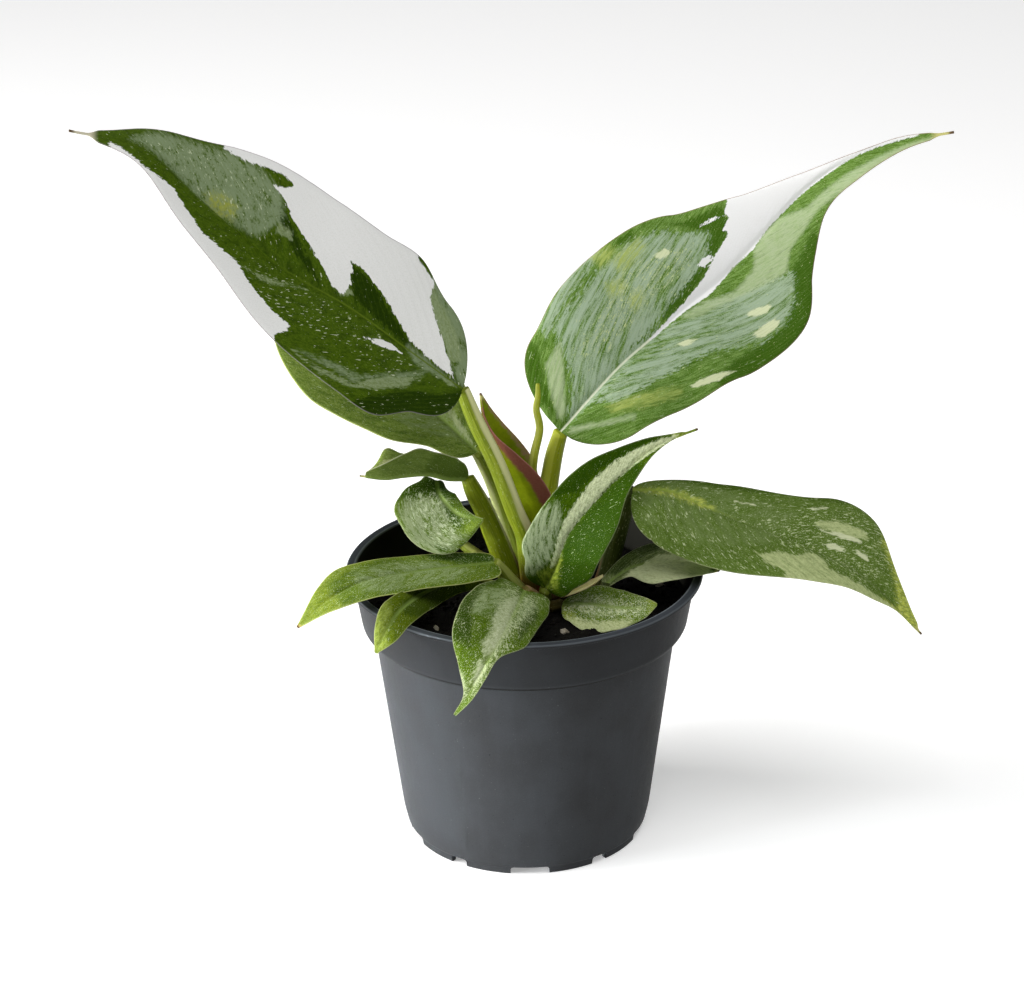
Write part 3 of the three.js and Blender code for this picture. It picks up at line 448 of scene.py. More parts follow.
LOOKS = {
    "upper_left": dict(
        green=(54, 78, 4), second=(80, 102, 20), dark=(28, 48, 1), mist=(126, 142, 106),
        pale=(146, 160, 120), lime=(150, 158, 70), fleck=(206, 214, 180), rib=(92, 112, 30),
        edge=(176, 164, 172), thread=(196, 190, 166), mist_from=0.36, density=0.1, marble=0.05,
        rib_width=0.3, rib_end=0.6, tip=0.95, more=0.35, stretch=0.8),
    "upper_right": dict(
        green=(62, 96, 14), second=(120, 150, 78), dark=(52, 84, 6), mist=(150, 168, 142),
        pale=(168, 181, 145), white=(222, 222, 222), lime=(150, 164, 84), fleck=(190, 200, 140),
        rib=(226, 230, 206), edge=(140, 118, 100), rib_width=0.3, rib_end=0.6, density=0.4, dashes=0.2,
        marble=0.35, rim=0.6, tip=0.96, ragged=2, stretch=0.14, feather=1, mist_from=0.395, mist_soft=0.8,
        mist_ragged=12),
    "behind_left": dict(
        green=(86, 108, 32), second=(120, 136, 68), mist=(118, 134, 84), pale=(160, 170, 130),
        edge=(180, 188, 120), density=0.5, marble=0.1, rim=0.8),
    "front_folded": dict(
        green=(48, 74, 2), second=(72, 98, 10), dark=(33, 58, 1), mist=(156, 170, 132),
        pale=(228, 236, 192), rib=(140, 158, 70), thread=(112, 132, 48), density=0.4, rib_width=0.25,
        feather=0.4, mist_from=0.385, rim=0.2, dashes=0.2, marble=0.1, more=0.2, tip=0.95, rib_end=0.35,
        ragged=2.5, sheen=0.02, gloss=0.5, stretch=0.4),
    "right_drooping": dict(
        green=(78, 102, 28), second=(104, 126, 62), dark=(66, 90, 20), mist=(104, 124, 66),
        pale=(190, 200, 144), lime=(192, 200, 90), fleck=(186, 198, 150), rib=(140, 160, 66), density=0.6,
        dashes=0.7, marble=0.35, tip=0.975, rib_end=0.4, more=0.3, stretch=0.45),
    "right_low": dict(
        green=(76, 94, 30), second=(150, 162, 112), dark=(44, 60, 10), pale=(212, 220, 172), density=0.6,
        marble=0.4, ragged=5, stretch=0.3),
    "front_right": dict(
        green=(70, 96, 6), second=(98, 120, 22), mist=(134, 150, 96), pale=(190, 196, 150),
        lime=(140, 154, 50), fleck=(200, 208, 176), density=0.85, dashes=0.5, ragged=6, feather=1,
        marble=0.6, stretch=0.8, tip=1),
    "front_drooping": dict(
        green=(66, 92, 4), second=(92, 118, 16), dark=(44, 66, 1), mist=(146, 162, 116),
        pale=(200, 208, 170), fleck=(196, 206, 160), density=0.8, dashes=0.5, marble=0.5, tip=1, ragged=6,
        feather=1.2),
    "left_long": dict(
        green=(72, 96, 14), second=(100, 118, 34), mist=(116, 132, 86), pale=(152, 164, 112),
        lime=(118, 134, 36), rib=(112, 134, 62), edge=(184, 190, 118), thread=(176, 150, 80), density=0.8,
        marble=0.5, rim=0.8, stretch=0.4, rib_end=0.6, tip=0.985),
    "left_low": dict(
        green=(70, 88, 4), second=(98, 114, 14), dark=(52, 70, 2), lime=(140, 156, 66),
        edge=(168, 174, 116), density=0.6, marble=0.3, rim=0.6, tip=1),
    "left_curled": dict(
        green=(82, 102, 34), second=(112, 130, 66), dark=(56, 76, 14), pale=(190, 190, 146),
        lime=(134, 150, 74), edge=(190, 192, 160), under=(84, 102, 40), density=0.5, under_share=0.35,
        tip=0.95, rim=0.8),
    "left_round": dict(
        green=(66, 90, 10), second=(94, 114, 36), dark=(44, 68, 2), mist=(132, 144, 106),
        pale=(186, 194, 164), lime=(128, 152, 54), density=0.6, marble=0.4, stretch=0.8, tip=1),
}

SHEATH_LOOK = dict(
    green=(106, 120, 4), second=(118, 132, 10), dark=(92, 108, 8), mist=(100, 112, 50),
    pale=(142, 106, 92), white=(112, 66, 52), lime=(138, 150, 30), edge=(150, 104, 92),
    under=(122, 134, 14), density=0, rib_width=0, marble=-1, dashes=-1, more=0, under_share=0, crisp=0.8,
    ragged=2)

SCALE_LOOK = dict(
    green=(236, 228, 160), second=(244, 238, 186), dark=(220, 208, 130), lime=(220, 214, 150),
    edge=(180, 120, 90), thread=(236, 228, 170), under=(220, 214, 150), density=0, rib_width=0, marble=-1,
    dashes=-1)

# Stalks: the stripe faces this way and starts at this cosine from it
SHADED_STALK = dict(
    facing=[-1, 0, 0.4], start=0.9, green=(44, 54, 12), second=(62, 72, 24), stripe=(90, 98, 50))

STALK_LOOKS = {
    "upper_left": dict(
        facing=[1, -0.9, 0.1], start=0.87, green=(88, 104, 10), second=(124, 136, 34),
        stripe=(192, 194, 140)),
    "behind_left": dict(
        facing=[-1, -0.4, 0], start=0.7, green=(96, 110, 26), second=(118, 130, 48),
        stripe=(170, 176, 116)),
    "upper_right": dict(
        facing=[-1, -0.5, 0], start=0.55, green=(126, 140, 20), second=(158, 168, 36),
        stripe=(184, 192, 66)),
    "left_curled": dict(
        facing=[1, 0.3, 0.6], start=0.8, green=(88, 102, 6), second=(116, 128, 20), stripe=(168, 170, 120)),
    "right_drooping": SHADED_STALK,
    "right_low": SHADED_STALK,
    "front_right": dict(
        facing=[0, -0.3, 1], start=0.9, green=(60, 56, 22), second=(84, 74, 34), stripe=(96, 84, 44)),
    "front_drooping": dict(
        facing=[0, -0.3, 1], start=0.8, green=(92, 84, 36), second=(112, 100, 52), stripe=(128, 108, 74)),
}

PLAIN_STALK = dict(
    facing=[0, -0.3, 1], start=0.6, green=(86, 100, 20), second=(110, 120, 40), stripe=(134, 142, 70),
    foot=(112, 62, 40))

YOUNG_LOOK = dict(
    facing=[-1, -0.5, 0], start=0.6, green=(140, 152, 24), second=(164, 172, 56),
    stripe=(184, 190, 84), foot=(150, 96, 60))


# Smooth curves

def along(values, u):
    """A smooth curve through evenly spaced values or points, read at each u from 0 to 1."""
    v = np.asarray(values, float)
    place = np.clip(u, 0, 1) * (len(v) - 1)
    i = np.minimum(place.astype(int), len(v) - 2)
    share = (place - i).reshape((-1,) + (1,) * (v.ndim - 1))
    padded = np.concatenate([[2 * v[0] - v[1]], v, [2 * v[-1] - v[-2]]])
    before, here, there, after = (padded[i + k] for k in range(4))
    leaving = (there - before) / 2
    arriving = (after - here) / 2
    step = there - here
    return here + share * (leaving + share * (3 * step - 2 * leaving - arriving
                                              + share * (leaving + arriving - 2 * step)))


def unit(vectors):
    return vectors / np.linalg.norm(vectors, axis=-1, keepdims=True)


def square_to(forward, facing):
    """The unit direction square to forward that is nearest to facing."""
    return unit(facing - np.sum(facing * forward, -1, keepdims=True) * forward)


def midline(points, t):
    """Points and directions of the curve at equal shares t of its length, its length, and the
    curve's own parameter there."""
    u = np.linspace(0, 1, 201)
    steps = np.linalg.norm(np.diff(along(points, u), axis=0), axis=1)
    distance = np.concatenate([[0], np.cumsum(steps)])
    at = np.interp(t * distance[-1], distance, u)
    ahead = along(points, np.minimum(at + 0.001, 1)) - along(points, np.maximum(at - 0.001, 0))
    return along(points, at), unit(ahead), distance[-1], at


# Blade surfaces

def half_widths(leaf, t, side):
    """Half width of a side at t; from "drip" on, the tip runs out as a narrow thread."""
    values = leaf["right" if side > 0 else "left"] + [END_HALF_WIDTH]
    inset = np.clip(1 - t / BASE_ROUNDING, 0, 1)
    width = np.maximum(along(values, t) * np.sqrt(1 - inset ** 2), END_HALF_WIDTH)
    past = np.clip((t - leaf.get("drip", 1)) / DRIP_TAPER, 0, 1)
    return width + (THREAD_HALF_WIDTH - width) * past ** 2 * (3 - 2 * past)


def blade_surface(leaf, t, a):
    """Points and outward normals of the upper face on the grid of t (0 base, 1 tip) and a (-1 left
    margin, 1 right margin), the half width there and the blade's length."""
    middle, forward, length, _ = midline(leaf["midrib"], t)
    up = square_to(forward, along(leaf["facing"], t))[:, None]
    forward = forward[:, None]
    right = np.cross(forward, up)
    side = np.where(a < 0, -1, 1)
    reach = np.abs(a)
    width = np.where(a < 0, half_widths(leaf, t, -1)[:, None], half_widths(leaf, t, 1)[:, None])
    fold = np.radians(along(leaf["fold"], t))[:, None]
    curl = np.radians(along(leaf.get("curl", USUAL_CURL), t))[:, None]
    angle = fold + curl * reach
    across = side * width / curl * (np.sin(angle) - np.sin(fold))
    rise = width / curl * (np.cos(fold) - np.cos(angle))
    inset = np.clip(1 - t / BASE_ROUNDING, 0, 1)[:, None]
    lobe = np.clip(1 - t / LOBE_SHARE, 0, 1)[:, None] ** 2 * np.sqrt(1 - inset ** 2)
    back = leaf.get("lobe", 0) * reach ** 2 * lobe
    point = (middle[:, None] + across[..., None] * right + rise[..., None] * up
             - back[..., None] * forward)
    tilt = angle * np.minimum(1, width / FULL_TILT_WIDTH) * np.minimum(1, reach / 0.1)
    normal = np.cos(tilt)[..., None] * up - (side * np.sin(tilt))[..., None] * right
    return point, normal, width, length


# Patches of the variegation and of the painted sheen

def inside_distance(points, outline):
    """Distance in mm from each point to the outline, positive inside it."""
    step = np.roll(outline, -1, axis=0) - outline
    offset = points[:, None] - outline
    share = np.clip(np.sum(offset * step, -1) / np.sum(step * step, -1), 0, 1)
    nearest = np.min(np.linalg.norm(offset - share[..., None] * step, axis=-1), axis=1)
    x, y = offset[..., 0], offset[..., 1]
    slope = step[:, 0] / np.where(step[:, 1] == 0, 1e-9, step[:, 1])
    crosses = ((y < 0) != (y < step[:, 1])) & (x < y * slope)
    return np.where(np.sum(crosses, axis=1) % 2 == 1, nearest, -nearest)


def patch_distance(leaf, outlines, points, length):
    """The greatest inside distance of several outlines; a point past the margin lies well outside
    the blade, so that its edges don't cut back over it."""
    outside = 1.3 * max(leaf["left"] + leaf["right"])
    result = np.full(len(points), -PATCH_REACH)
    for outline in outlines:
        t, a = np.array(outline).T / 100
        width = np.where(a < 0, half_widths(leaf, t, -1), half_widths(leaf, t, 1))
        across = np.where(np.abs(a) > 1, np.sign(a) * outside, a * width)
        result = np.maximum(result, inside_distance(points, np.stack([t * length, across], -1)))
    return np.minimum(result, PATCH_REACH)


# Meshes

def make_object(name, vertices, faces, smooth=True):
    mesh = bpy.data.meshes.new(name)
    mesh.from_pydata((np.asarray(vertices) * MM).tolist(), [], [list(f) for f in faces])
    mesh.validate()
    mesh.update()
    mesh.polygons.foreach_set("use_smooth", [smooth] * len(mesh.polygons))
    piece = bpy.data.objects.new(name, mesh)
    bpy.context.scene.collection.objects.link(piece)
    return piece


def add_vectors(piece, name, values):
    attribute = piece.data.attributes.new(name, "FLOAT_VECTOR", "POINT")
    attribute.data.foreach_set("vector", np.asarray(values, np.float32).ravel())


def settle(piece, material, slot, *nodes):
    """The piece takes its material, rides on the one body and stands for those nodes."""
    piece.data.materials.append(material)
    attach(piece, "root")
    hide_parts(*nodes)


def sheet_faces(rows, columns):
    """Faces of an upper and a lower grid joined round their edges."""
    grid = np.arange(rows * columns).reshape(rows, columns)
    a, b, c, d = grid[:-1, :-1], grid[:-1, 1:], grid[1:, 1:], grid[1:, :-1]
    upper = np.stack([a, b, c, d], -1).reshape(-1, 4)
    lower = np.stack([a, d, c, b], -1).reshape(-1, 4) + grid.size
    rim = np.concatenate([grid[:-1, 0], grid[-1, :-1], grid[:0:-1, -1], grid[0, :0:-1]])
    following = np.roll(rim, -1)
    edge = np.stack([rim, following, following + grid.size, rim + grid.size], -1)
    return np.concatenate([upper, lower, edge]).tolist()


def tube_faces(rings, sides):
    """Faces of stacked rings, closed at each end by one of the two points that follow them."""
    grid = np.arange(rings * sides).reshape(rings, sides)
    beside = np.roll(grid, -1, axis=1)
    wall = np.stack([grid[:-1], beside[:-1], beside[1:], grid[1:]], -1).reshape(-1, 4).tolist()
    start = [(grid.size, k, j) for j, k in zip(grid[0].tolist(), beside[0].tolist())]
    end = [(grid.size + 1, j, k) for j, k in zip(grid[-1].tolist(), beside[-1].tolist())]
    return wall + start + end


def make_blade(name, leaf, patches, grid, relief, thickness=BLADE_THICKNESS):
    """A thin closed sheet with a midrib groove and pleats, and attributes that place its pattern."""
    rows, columns = grid
    share = np.linspace(0, 1, rows)
    t = 0.5 * share + 0.25 * (1 - np.cos(np.pi * share))
    u = np.linspace(-1, 1, columns)
    a = 0.62 * u + 0.38 * np.sin(u * np.pi / 2) * np.abs(u) ** 0.6
    point, normal, width, length = blade_surface(leaf, t, a)
    t = t[:, None]
    w = a * width
    reach = np.abs(w)
    margin = width - reach
    slant = relief["slant"] * (1 + relief["forward"] * t ** 2)
    vein = t * length - slant * reach - relief["sweep"] * reach ** 2 / width
    travel = reach + relief["slant"] * length * (t + relief["forward"] * t ** 3 / 3)
    still = np.clip(margin / 3, 0, 1) * np.clip(np.minimum(t, 1 - t) / 0.06, 0, 1)
    pleat = relief["pleat"] * np.cos(2 * np.pi * vein / relief["spacing"]) * still
    pleat *= np.clip(reach / 3, 0, 1)
    groove = np.exp(-(w / relief["rib"]) ** 2) * np.clip((1 - t) / 0.25, 0, 1)
    groove *= np.clip(t / 0.02, 0, 1)
    half = 0.5 * thickness * np.clip(margin / 2.5 + 0.35, 0.35, 1)
    upper = point + (pleat + half - GROOVE_ABOVE * groove)[..., None] * normal
    lower = point + (pleat - half - GROOVE_BELOW * groove)[..., None] * normal
    vertices = np.concatenate([upper, lower]).reshape(-1, 3)
    piece = make_object(name, vertices, sheet_faces(rows, columns))

    def store(attribute, *values):
        threes = np.stack([v + 0 * w for v in values], -1)
        add_vectors(piece, attribute, np.concatenate([threes, threes]))

    places = np.stack([t * length + 0 * w, w], -1).reshape(-1, 2)
    zones = [patch_distance(leaf, patches.get(kind, []), places, length).reshape(w.shape)
             for kind in ZONE_KINDS]
    store("vein", vein, travel, reach)
    store("shape", t, a, margin)
    store("zone_a", *zones[:3])
    store("zone_b", *zones[3:6])
    store("zone_c", *zones[6:], 0, 0)
    add_vectors(piece, "face", np.repeat([[0, 0, 0], [1, 0, 0]], w.size, axis=0))
    return piece


# Colours, as they look on a screen, turned into the linear values that shaders take

def tone(red, green, blue):
    return tuple(((c / 255 + 0.055) / 1.055) ** 2.4 if c > 10 else c / 255 / 12.92
                 for c in (red, green, blue)) + (1.0,)


def toned(look):
    """A look's values by name, with its colours turned into tones."""
    return SimpleNamespace(**{key: tone(*value) if isinstance(value, tuple) else value
                              for key, value in look.items()})


def blend_tones(first, second, share):
    return tuple(a + (b - a) * share for a, b in zip(first, second))


# Shader nodes

class Graph:
    """Short ways to add nodes to one material."""

    def __init__(self, name):
        self.material = bpy.data.materials.new(name)
        self.material.use_nodes = True
        self.tree = self.material.node_tree
        self.shader = next(n for n in self.tree.nodes if n.type == "BSDF_PRINCIPLED")

    def node(self, kind, inputs=(), **settings):
        made = self.tree.nodes.new(kind)
        for key, value in settings.items():
            setattr(made, key, value)
        for key, value in dict(inputs).items():
            self.plug(made.inputs[key], value)
        return made

    def plug(self, socket, value):
        if isinstance(value, bpy.types.NodeSocket):
            self.tree.links.new(value, socket)
        else:
            socket.default_value = value

    def parts(self, vector):
        return self.node("ShaderNodeSeparateXYZ", {0: vector}).outputs[:3]

    def attribute(self, name):
        return self.parts(self.node("ShaderNodeAttribute", attribute_name=name).outputs["Vector"])

    def place(self):
        """The place on the object in millimetres."""
        place = self.node("ShaderNodeTexCoord").outputs["Object"]
        return self.node("ShaderNodeVectorMath", {0: place, 3: 1 / MM}, operation="SCALE").outputs[0]

    def combine(self, x, y, z=0.0):
        return self.node("ShaderNodeCombineXYZ", {0: x, 1: y, 2: z}).outputs[0]

    def math(self, operation, a, b=0.0, clamp=False):
        made = self.node("ShaderNodeMath", {0: a, 1: b}, operation=operation, use_clamp=clamp)
        return made.outputs[0]

    def times(self, a, b):
        return self.math("MULTIPLY", a, b)

    def plus(self, a, b, clamp=False):
        return self.math("ADD", a, b, clamp)

    def scaled(self, value, factor, offset=0.0, clamp=False):
        return self.node("ShaderNodeMath", {0: value, 1: factor, 2: offset},
                         operation="MULTIPLY_ADD", use_clamp=clamp).outputs[0]

    def smooth(self, value, low, high):
        return self.node("ShaderNodeMapRange", {"Value": value, "From Min": low, "From Max": high},
                         interpolation_type="SMOOTHSTEP").outputs[0]

    def noise(self, place, scale, detail, roughness=0.5):
        return self.node("ShaderNodeTexNoise", {"Vector": place, "Scale": scale, "Detail": detail,
                                                "Roughness": roughness}).outputs["Fac"]

    def mix(self, share, a, b):
        return self.node("ShaderNodeMix", {0: share, 6: a, 7: b}, data_type="RGBA").outputs[2]

    def layer(self, colour, mask, strength, over):
        """Lays one tone over the colour where the mask says, at no more than that strength."""
        return self.mix(self.scaled(mask, strength), colour, over)

    def bump(self, height, distance, strength):
        made = self.node("ShaderNodeBump", {"Height": height, "Strength": strength,
                                            "Distance": distance})
        self.plug(self.shader.inputs["Normal"], made.outputs["Normal"])

    def finish(self, colour, roughness, shine):
        self.plug(self.shader.inputs["Base Color"], colour)
        self.plug(self.shader.inputs["Roughness"], roughness)
        self.shader.inputs["Specular IOR Level"].default_value = shine
        return self.material


# Leaf material

def jagged(graph, distance, wander, reach, soft):
    """A mask from an inside distance whose edge wanders along the veins."""
    shifted = graph.plus(distance, graph.scaled(wander, reach, -0.5 * reach))
    return graph.smooth(shifted, -soft, soft)


def leaf_material(name, look):
    look = toned({**GREEN_LOOK, **look})
    g = Graph(name)
    vein, travel, reach = g.attribute("vein")
    t, a, margin = g.attribute("shape")
    white, pale, mist = g.attribute("zone_a")
    lime, dark, fleck = g.attribute("zone_b")
    cream = g.attribute("zone_c")[0]
    under = g.attribute("face")[0]
    side = g.scaled(g.math("GREATER_THAN", a, 0.0), SIDE_SHIFT)

    def veined(scale, stretch, detail, roughness=0.62):
        """Noise drawn out along the veins; scale is per mm across them, stretch 1 is even."""
        return g.noise(g.combine(vein, g.scaled(travel, stretch), side), scale, detail, roughness)

    broad = veined(0.28, 0.6 * look.stretch, 3)
    streak = veined(0.75, look.stretch, 5, 0.7)
    wander = veined(0.65, 0.35, 5, 0.66)
    grain = veined(1.4, 0.9, 3, 0.7)
    stipple = veined(1.3, 0.85, 3, 0.6)
    dash = veined(1.05, 0.25, 2, 0.5)
    marble = veined(0.42, look.stretch, 6, 0.74)
    mottle = veined(0.18, 0.8, 3)
    # greens: broad bands along the veins, broken up by finer streaks and grain
    fine = g.plus(g.scaled(streak, 0.6), g.scaled(grain, 0.4))
    colour = g.mix(g.smooth(fine, 0.4, 0.62), look.green, look.second)
    colour = g.layer(colour, g.smooth(broad, 0.45, 0.65), 0.45, look.dark)
    dark_mask = g.times(jagged(g, dark, wander, 5, 1), g.scaled(fine, -0.8, 1.3, True))
    colour = g.mix(dark_mask, colour, look.dark)
    # painted sheen: a grey-green tone in bands along the veins, standing in for the leaf's reflected light
    sheen_band = g.smooth(g.scaled(g.plus(broad, fine), 0.5), look.mist_from, look.mist_from + 0.16)
    painted_sheen_mask = g.times(jagged(g, mist, wander, look.mist_ragged, look.mist_soft), sheen_band)
    colour = g.mix(painted_sheen_mask, colour, look.mist)
    veil = g.scaled(g.smooth(marble, 0.42, 0.58), 0.65, 0.3)
    colour = g.mix(g.times(jagged(g, lime, wander, 7, 1.6), veil), colour, look.lime)
    # pale marks: marbling, fine stippling and short dashes, thicker where the leaf has more
    share = g.plus(g.scaled(g.smooth(fleck, -3, 3), look.more), g.scaled(mottle, 1.2, -0.6))
    marks = ((marble, 0.12, 0.7 - 0.2 * look.marble, 0.05, 0.75, look.pale),
             (stipple, 0.1, 0.7 - 0.16 * look.density, 0.06, 0.6, look.fleck),
             (dash, 0.12, 0.72 - 0.12 * look.dashes, 0.03, 0.85, look.fleck))
    for noise, gain, limit, soft, strength, mark_tone in marks:
        above = g.math("SUBTRACT", noise, g.scaled(share, -gain, limit))
        colour = g.layer(colour, g.smooth(above, 0, soft), strength, mark_tone)
    # midrib
    if look.rib_width:
        rib = g.smooth(reach, look.rib_width * 2 + 0.01, look.rib_width * 0.5)
        rib = g.times(rib, g.smooth(t, look.rib_end, look.rib_end - 0.35))
        colour = g.layer(colour, rib, 0.8, look.rib)
    # pale, cream and white sectors with stepped, feathered edges
    pale_mask = g.times(jagged(g, pale, wander, look.ragged + 1, look.feather),
                        g.scaled(g.smooth(marble, 0.36, 0.5), 0.4, 0.55))
    pale_tone = g.mix(g.smooth(fine, 0.42, 0.6), look.pale,
                      blend_tones(look.pale, look.second, 0.45))
    colour = g.layer(colour, pale_mask, 0.92, pale_tone)
    colour = g.layer(colour, jagged(g, cream, wander, 2, 0.3), 0.9, look.cream)
    white_mask = jagged(g, white, wander, look.ragged, look.crisp)
    white_tone = g.mix(g.smooth(grain, 0.4, 0.7), look.white,
                       blend_tones(look.white, look.pale, 0.12))
    colour = g.mix(white_mask, colour, white_tone)
    # side veins, margin and tip
    line = g.math("SINE", g.scaled(g.plus(vein, g.scaled(wander, 4)), 2.4))
    line = g.smooth(line, 0.8, 1)
    colour = g.mix(g.times(line, g.scaled(white_mask, -0.18, 0.2)), colour, look.second)
    edge = g.times(g.smooth(margin, 0.42, 0.1), g.scaled(white_mask, 0.7 - look.rim, look.rim))
    colour = g.mix(edge, colour, look.edge)
    if look.tip < 1:
        colour = g.mix(g.smooth(t, look.tip - 0.01, look.tip + 0.01), colour, look.thread)
        colour = g.mix(g.smooth(t, 0.985, 0.995), colour, tone(92, 72, 50))
    colour = g.layer(colour, under, look.under_share, look.under)
    gloss = g.plus(g.scaled(veined(0.5, 1, 2), 0.16, look.gloss), g.scaled(under, 0.18))
    relief = g.plus(g.scaled(fine, 0.8), g.scaled(line, -0.2))
    g.bump(g.plus(g.scaled(veined(4, 1, 2), 0.35), relief), 0.00012, 0.5)
    return g.finish(colour, gloss, look.sheen)


# Stalks

def make_stalk(name, route, facing, form=STALK_SHAPE):
    """A tapering stalk whose ring attribute measures angles from the world direction "facing"."""
    sides, spacing, channel = form
    route = np.array(route, float)
    length = midline(route[:, :3], np.zeros(1))[2]
    u = np.linspace(0, 1, max(8, round(length / spacing)) + 1)
    middle, forward, _, at = midline(route[:, :3], u)
    first = square_to(forward, np.array(facing, float))
    second = np.cross(forward, first)
    angle = np.linspace(0, 2 * np.pi, sides, endpoint=False)
    cosine, sine = np.cos(angle), np.sin(angle)
    shape = 1 + 0.05 * np.cos(2 * angle) - channel * np.exp(-((angle - 0.9) / 0.35) ** 2)
    reach = along(route[:, 3], at)[:, None] * shape
    ring = (middle[:, None] + (reach * cosine)[..., None] * first[:, None]
            + (reach * sine)[..., None] * second[:, None])
    vertices = np.concatenate([ring.reshape(-1, 3), middle[:1] - 0.2 * forward[:1],
                               middle[-1:] + 0.2 * forward[-1:]])
    piece = make_object(name, vertices, tube_faces(len(u), sides))
    rings = np.stack([np.tile(cosine, len(u)), np.tile(sine, len(u)), np.repeat(u, sides)], -1)
    rings = np.concatenate([rings, [[0, 0, 0], [0, 0, 1]]])
    add_vectors(piece, "ring", rings)
    add_vectors(piece, "run", rings[:, 2:] * [length, 0, 0])
    return piece


def stalk_material(name, look):
    """Green stalk with fine lengthwise lines and a pale stripe where its ring faces forwards."""
    look = toned(look)
    g = Graph(name)
    cosine, sine, share = g.attribute("ring")
    run = g.attribute("run")[0]

    def drawn(around, lengthwise, scale, detail, roughness=0.5):
        place = g.combine(g.scaled(cosine, around), g.scaled(sine, around), g.scaled(run, lengthwise))
        return g.noise(place, scale, detail, roughness)

    fine = drawn(5, 0.05, 1.6, 4, 0.65)
    broad = drawn(1.5, 0.03, 1, 2)
    speck = drawn(4, 0.6, 1.4, 2)
    colour = g.mix(g.smooth(fine, 0.35, 0.65), look.green, look.second)
    stripe = g.mix(g.smooth(g.plus(share, g.scaled(broad, 0.2)), 0.6, 0.25), look.stripe, look.foot)
    edge = g.plus(cosine, g.scaled(broad, 0.3, -0.15))
    colour = g.mix(g.smooth(edge, look.start - 0.08, look.start + 0.1), colour, stripe)
    colour = g.layer(colour, g.smooth(speck, 0.62, 0.7), 0.25, tone(190, 196, 150))
    colour = g.mix(g.smooth(g.plus(share, g.scaled(fine, 0.1)), 0.3, 0.08), colour, look.foot)
    g.bump(g.plus(fine, g.scaled(speck, 0.3)), 0.0002, 0.6)
    return g.finish(colour, g.scaled(broad, 0.15, 0.36), 0.12)


# Pot

def turned(name, profile, segments, shape=None):
    """A closed lathe of a profile of (radius, height) whose ends lie on the axis, with its points
    then moved by the function shape."""
    angle = np.linspace(0, 2 * np.pi, segments, endpoint=False)
    radius, height = np.array(profile[1:-1])[:, :, None].transpose(1, 0, 2)
    ring = np.stack([radius * np.cos(angle), radius * np.sin(angle), height + 0 * angle], -1)
    ends = [(0, 0, profile[0][1]), (0, 0, profile[-1][1])]
    vertices = np.concatenate([ring.reshape(-1, 3), ends])
    if shape:
        vertices = shape(vertices)
    return make_object(name, vertices, tube_faces(len(radius), segments))


def rounded_profile(corners):
    """Each corner is (radius, height, rounding): it becomes a short arc of points."""
    share = np.linspace(0, 1, 5)[:, None]
    points = []
    for before, corner, after in zip(corners, corners[1:], corners[2:]):
        here = np.array(corner[:2])
        start = here + unit(np.array(before[:2]) - here) * corner[2]
        end = here + unit(np.array(after[:2]) - here) * corner[2]
        points += ((1 - share) ** 2 * start + 2 * share * (1 - share) * here + share ** 2 * end).tolist()
    return [corners[0], *points, corners[-1]]


def notch_cutter(width):
    """A bar across the foot ring, rounded at its upper corners."""
    angle = np.linspace(0, np.pi / 2, 5)
    y = width / 2 - NOTCH_ROUNDING * (1 - np.cos(angle))
    z = FOOT_HEIGHT - NOTCH_ROUNDING * (1 - np.sin(angle))
    right = [(width / 2, -FOOT_HEIGHT), *zip(y, z)]
    outline = [(-y, z) for y, z in right[::-1]] + right
    count = len(outline)
    vertices = [(x, *corner) for x in (NOTCH_REACH / 2, -NOTCH_REACH / 2) for corner in outline]
    faces = [range(count), range(2 * count - 1, count - 1, -1)]
    faces += [(i, count + i, count + (i + 1) % count, (i + 1) % count) for i in range(count)]
    return make_object("cutter", vertices, faces)


def drain_cutter():
    profile = [(0, 0), (DRAIN_RADIUS, 0), (DRAIN_RADIUS, DRAIN_DEPTH), (0, DRAIN_DEPTH)]
    return turned("cutter", profile, DRAIN_SIDES)


def cut_round(piece, cutter, degrees, reach):
    """Sets the cutter at that angle and distance from the axis, to be taken from the piece."""
    cutter.matrix_world = (Matrix.Rotation(math.radians(degrees), 4, "Z")
                           @ Matrix.Translation((reach * MM, 0, 0)))
    modifier = piece.modifiers.new("cut", "BOOLEAN")
    modifier.operation = "DIFFERENCE"
    modifier.solver = "EXACT"
    modifier.object = cutter


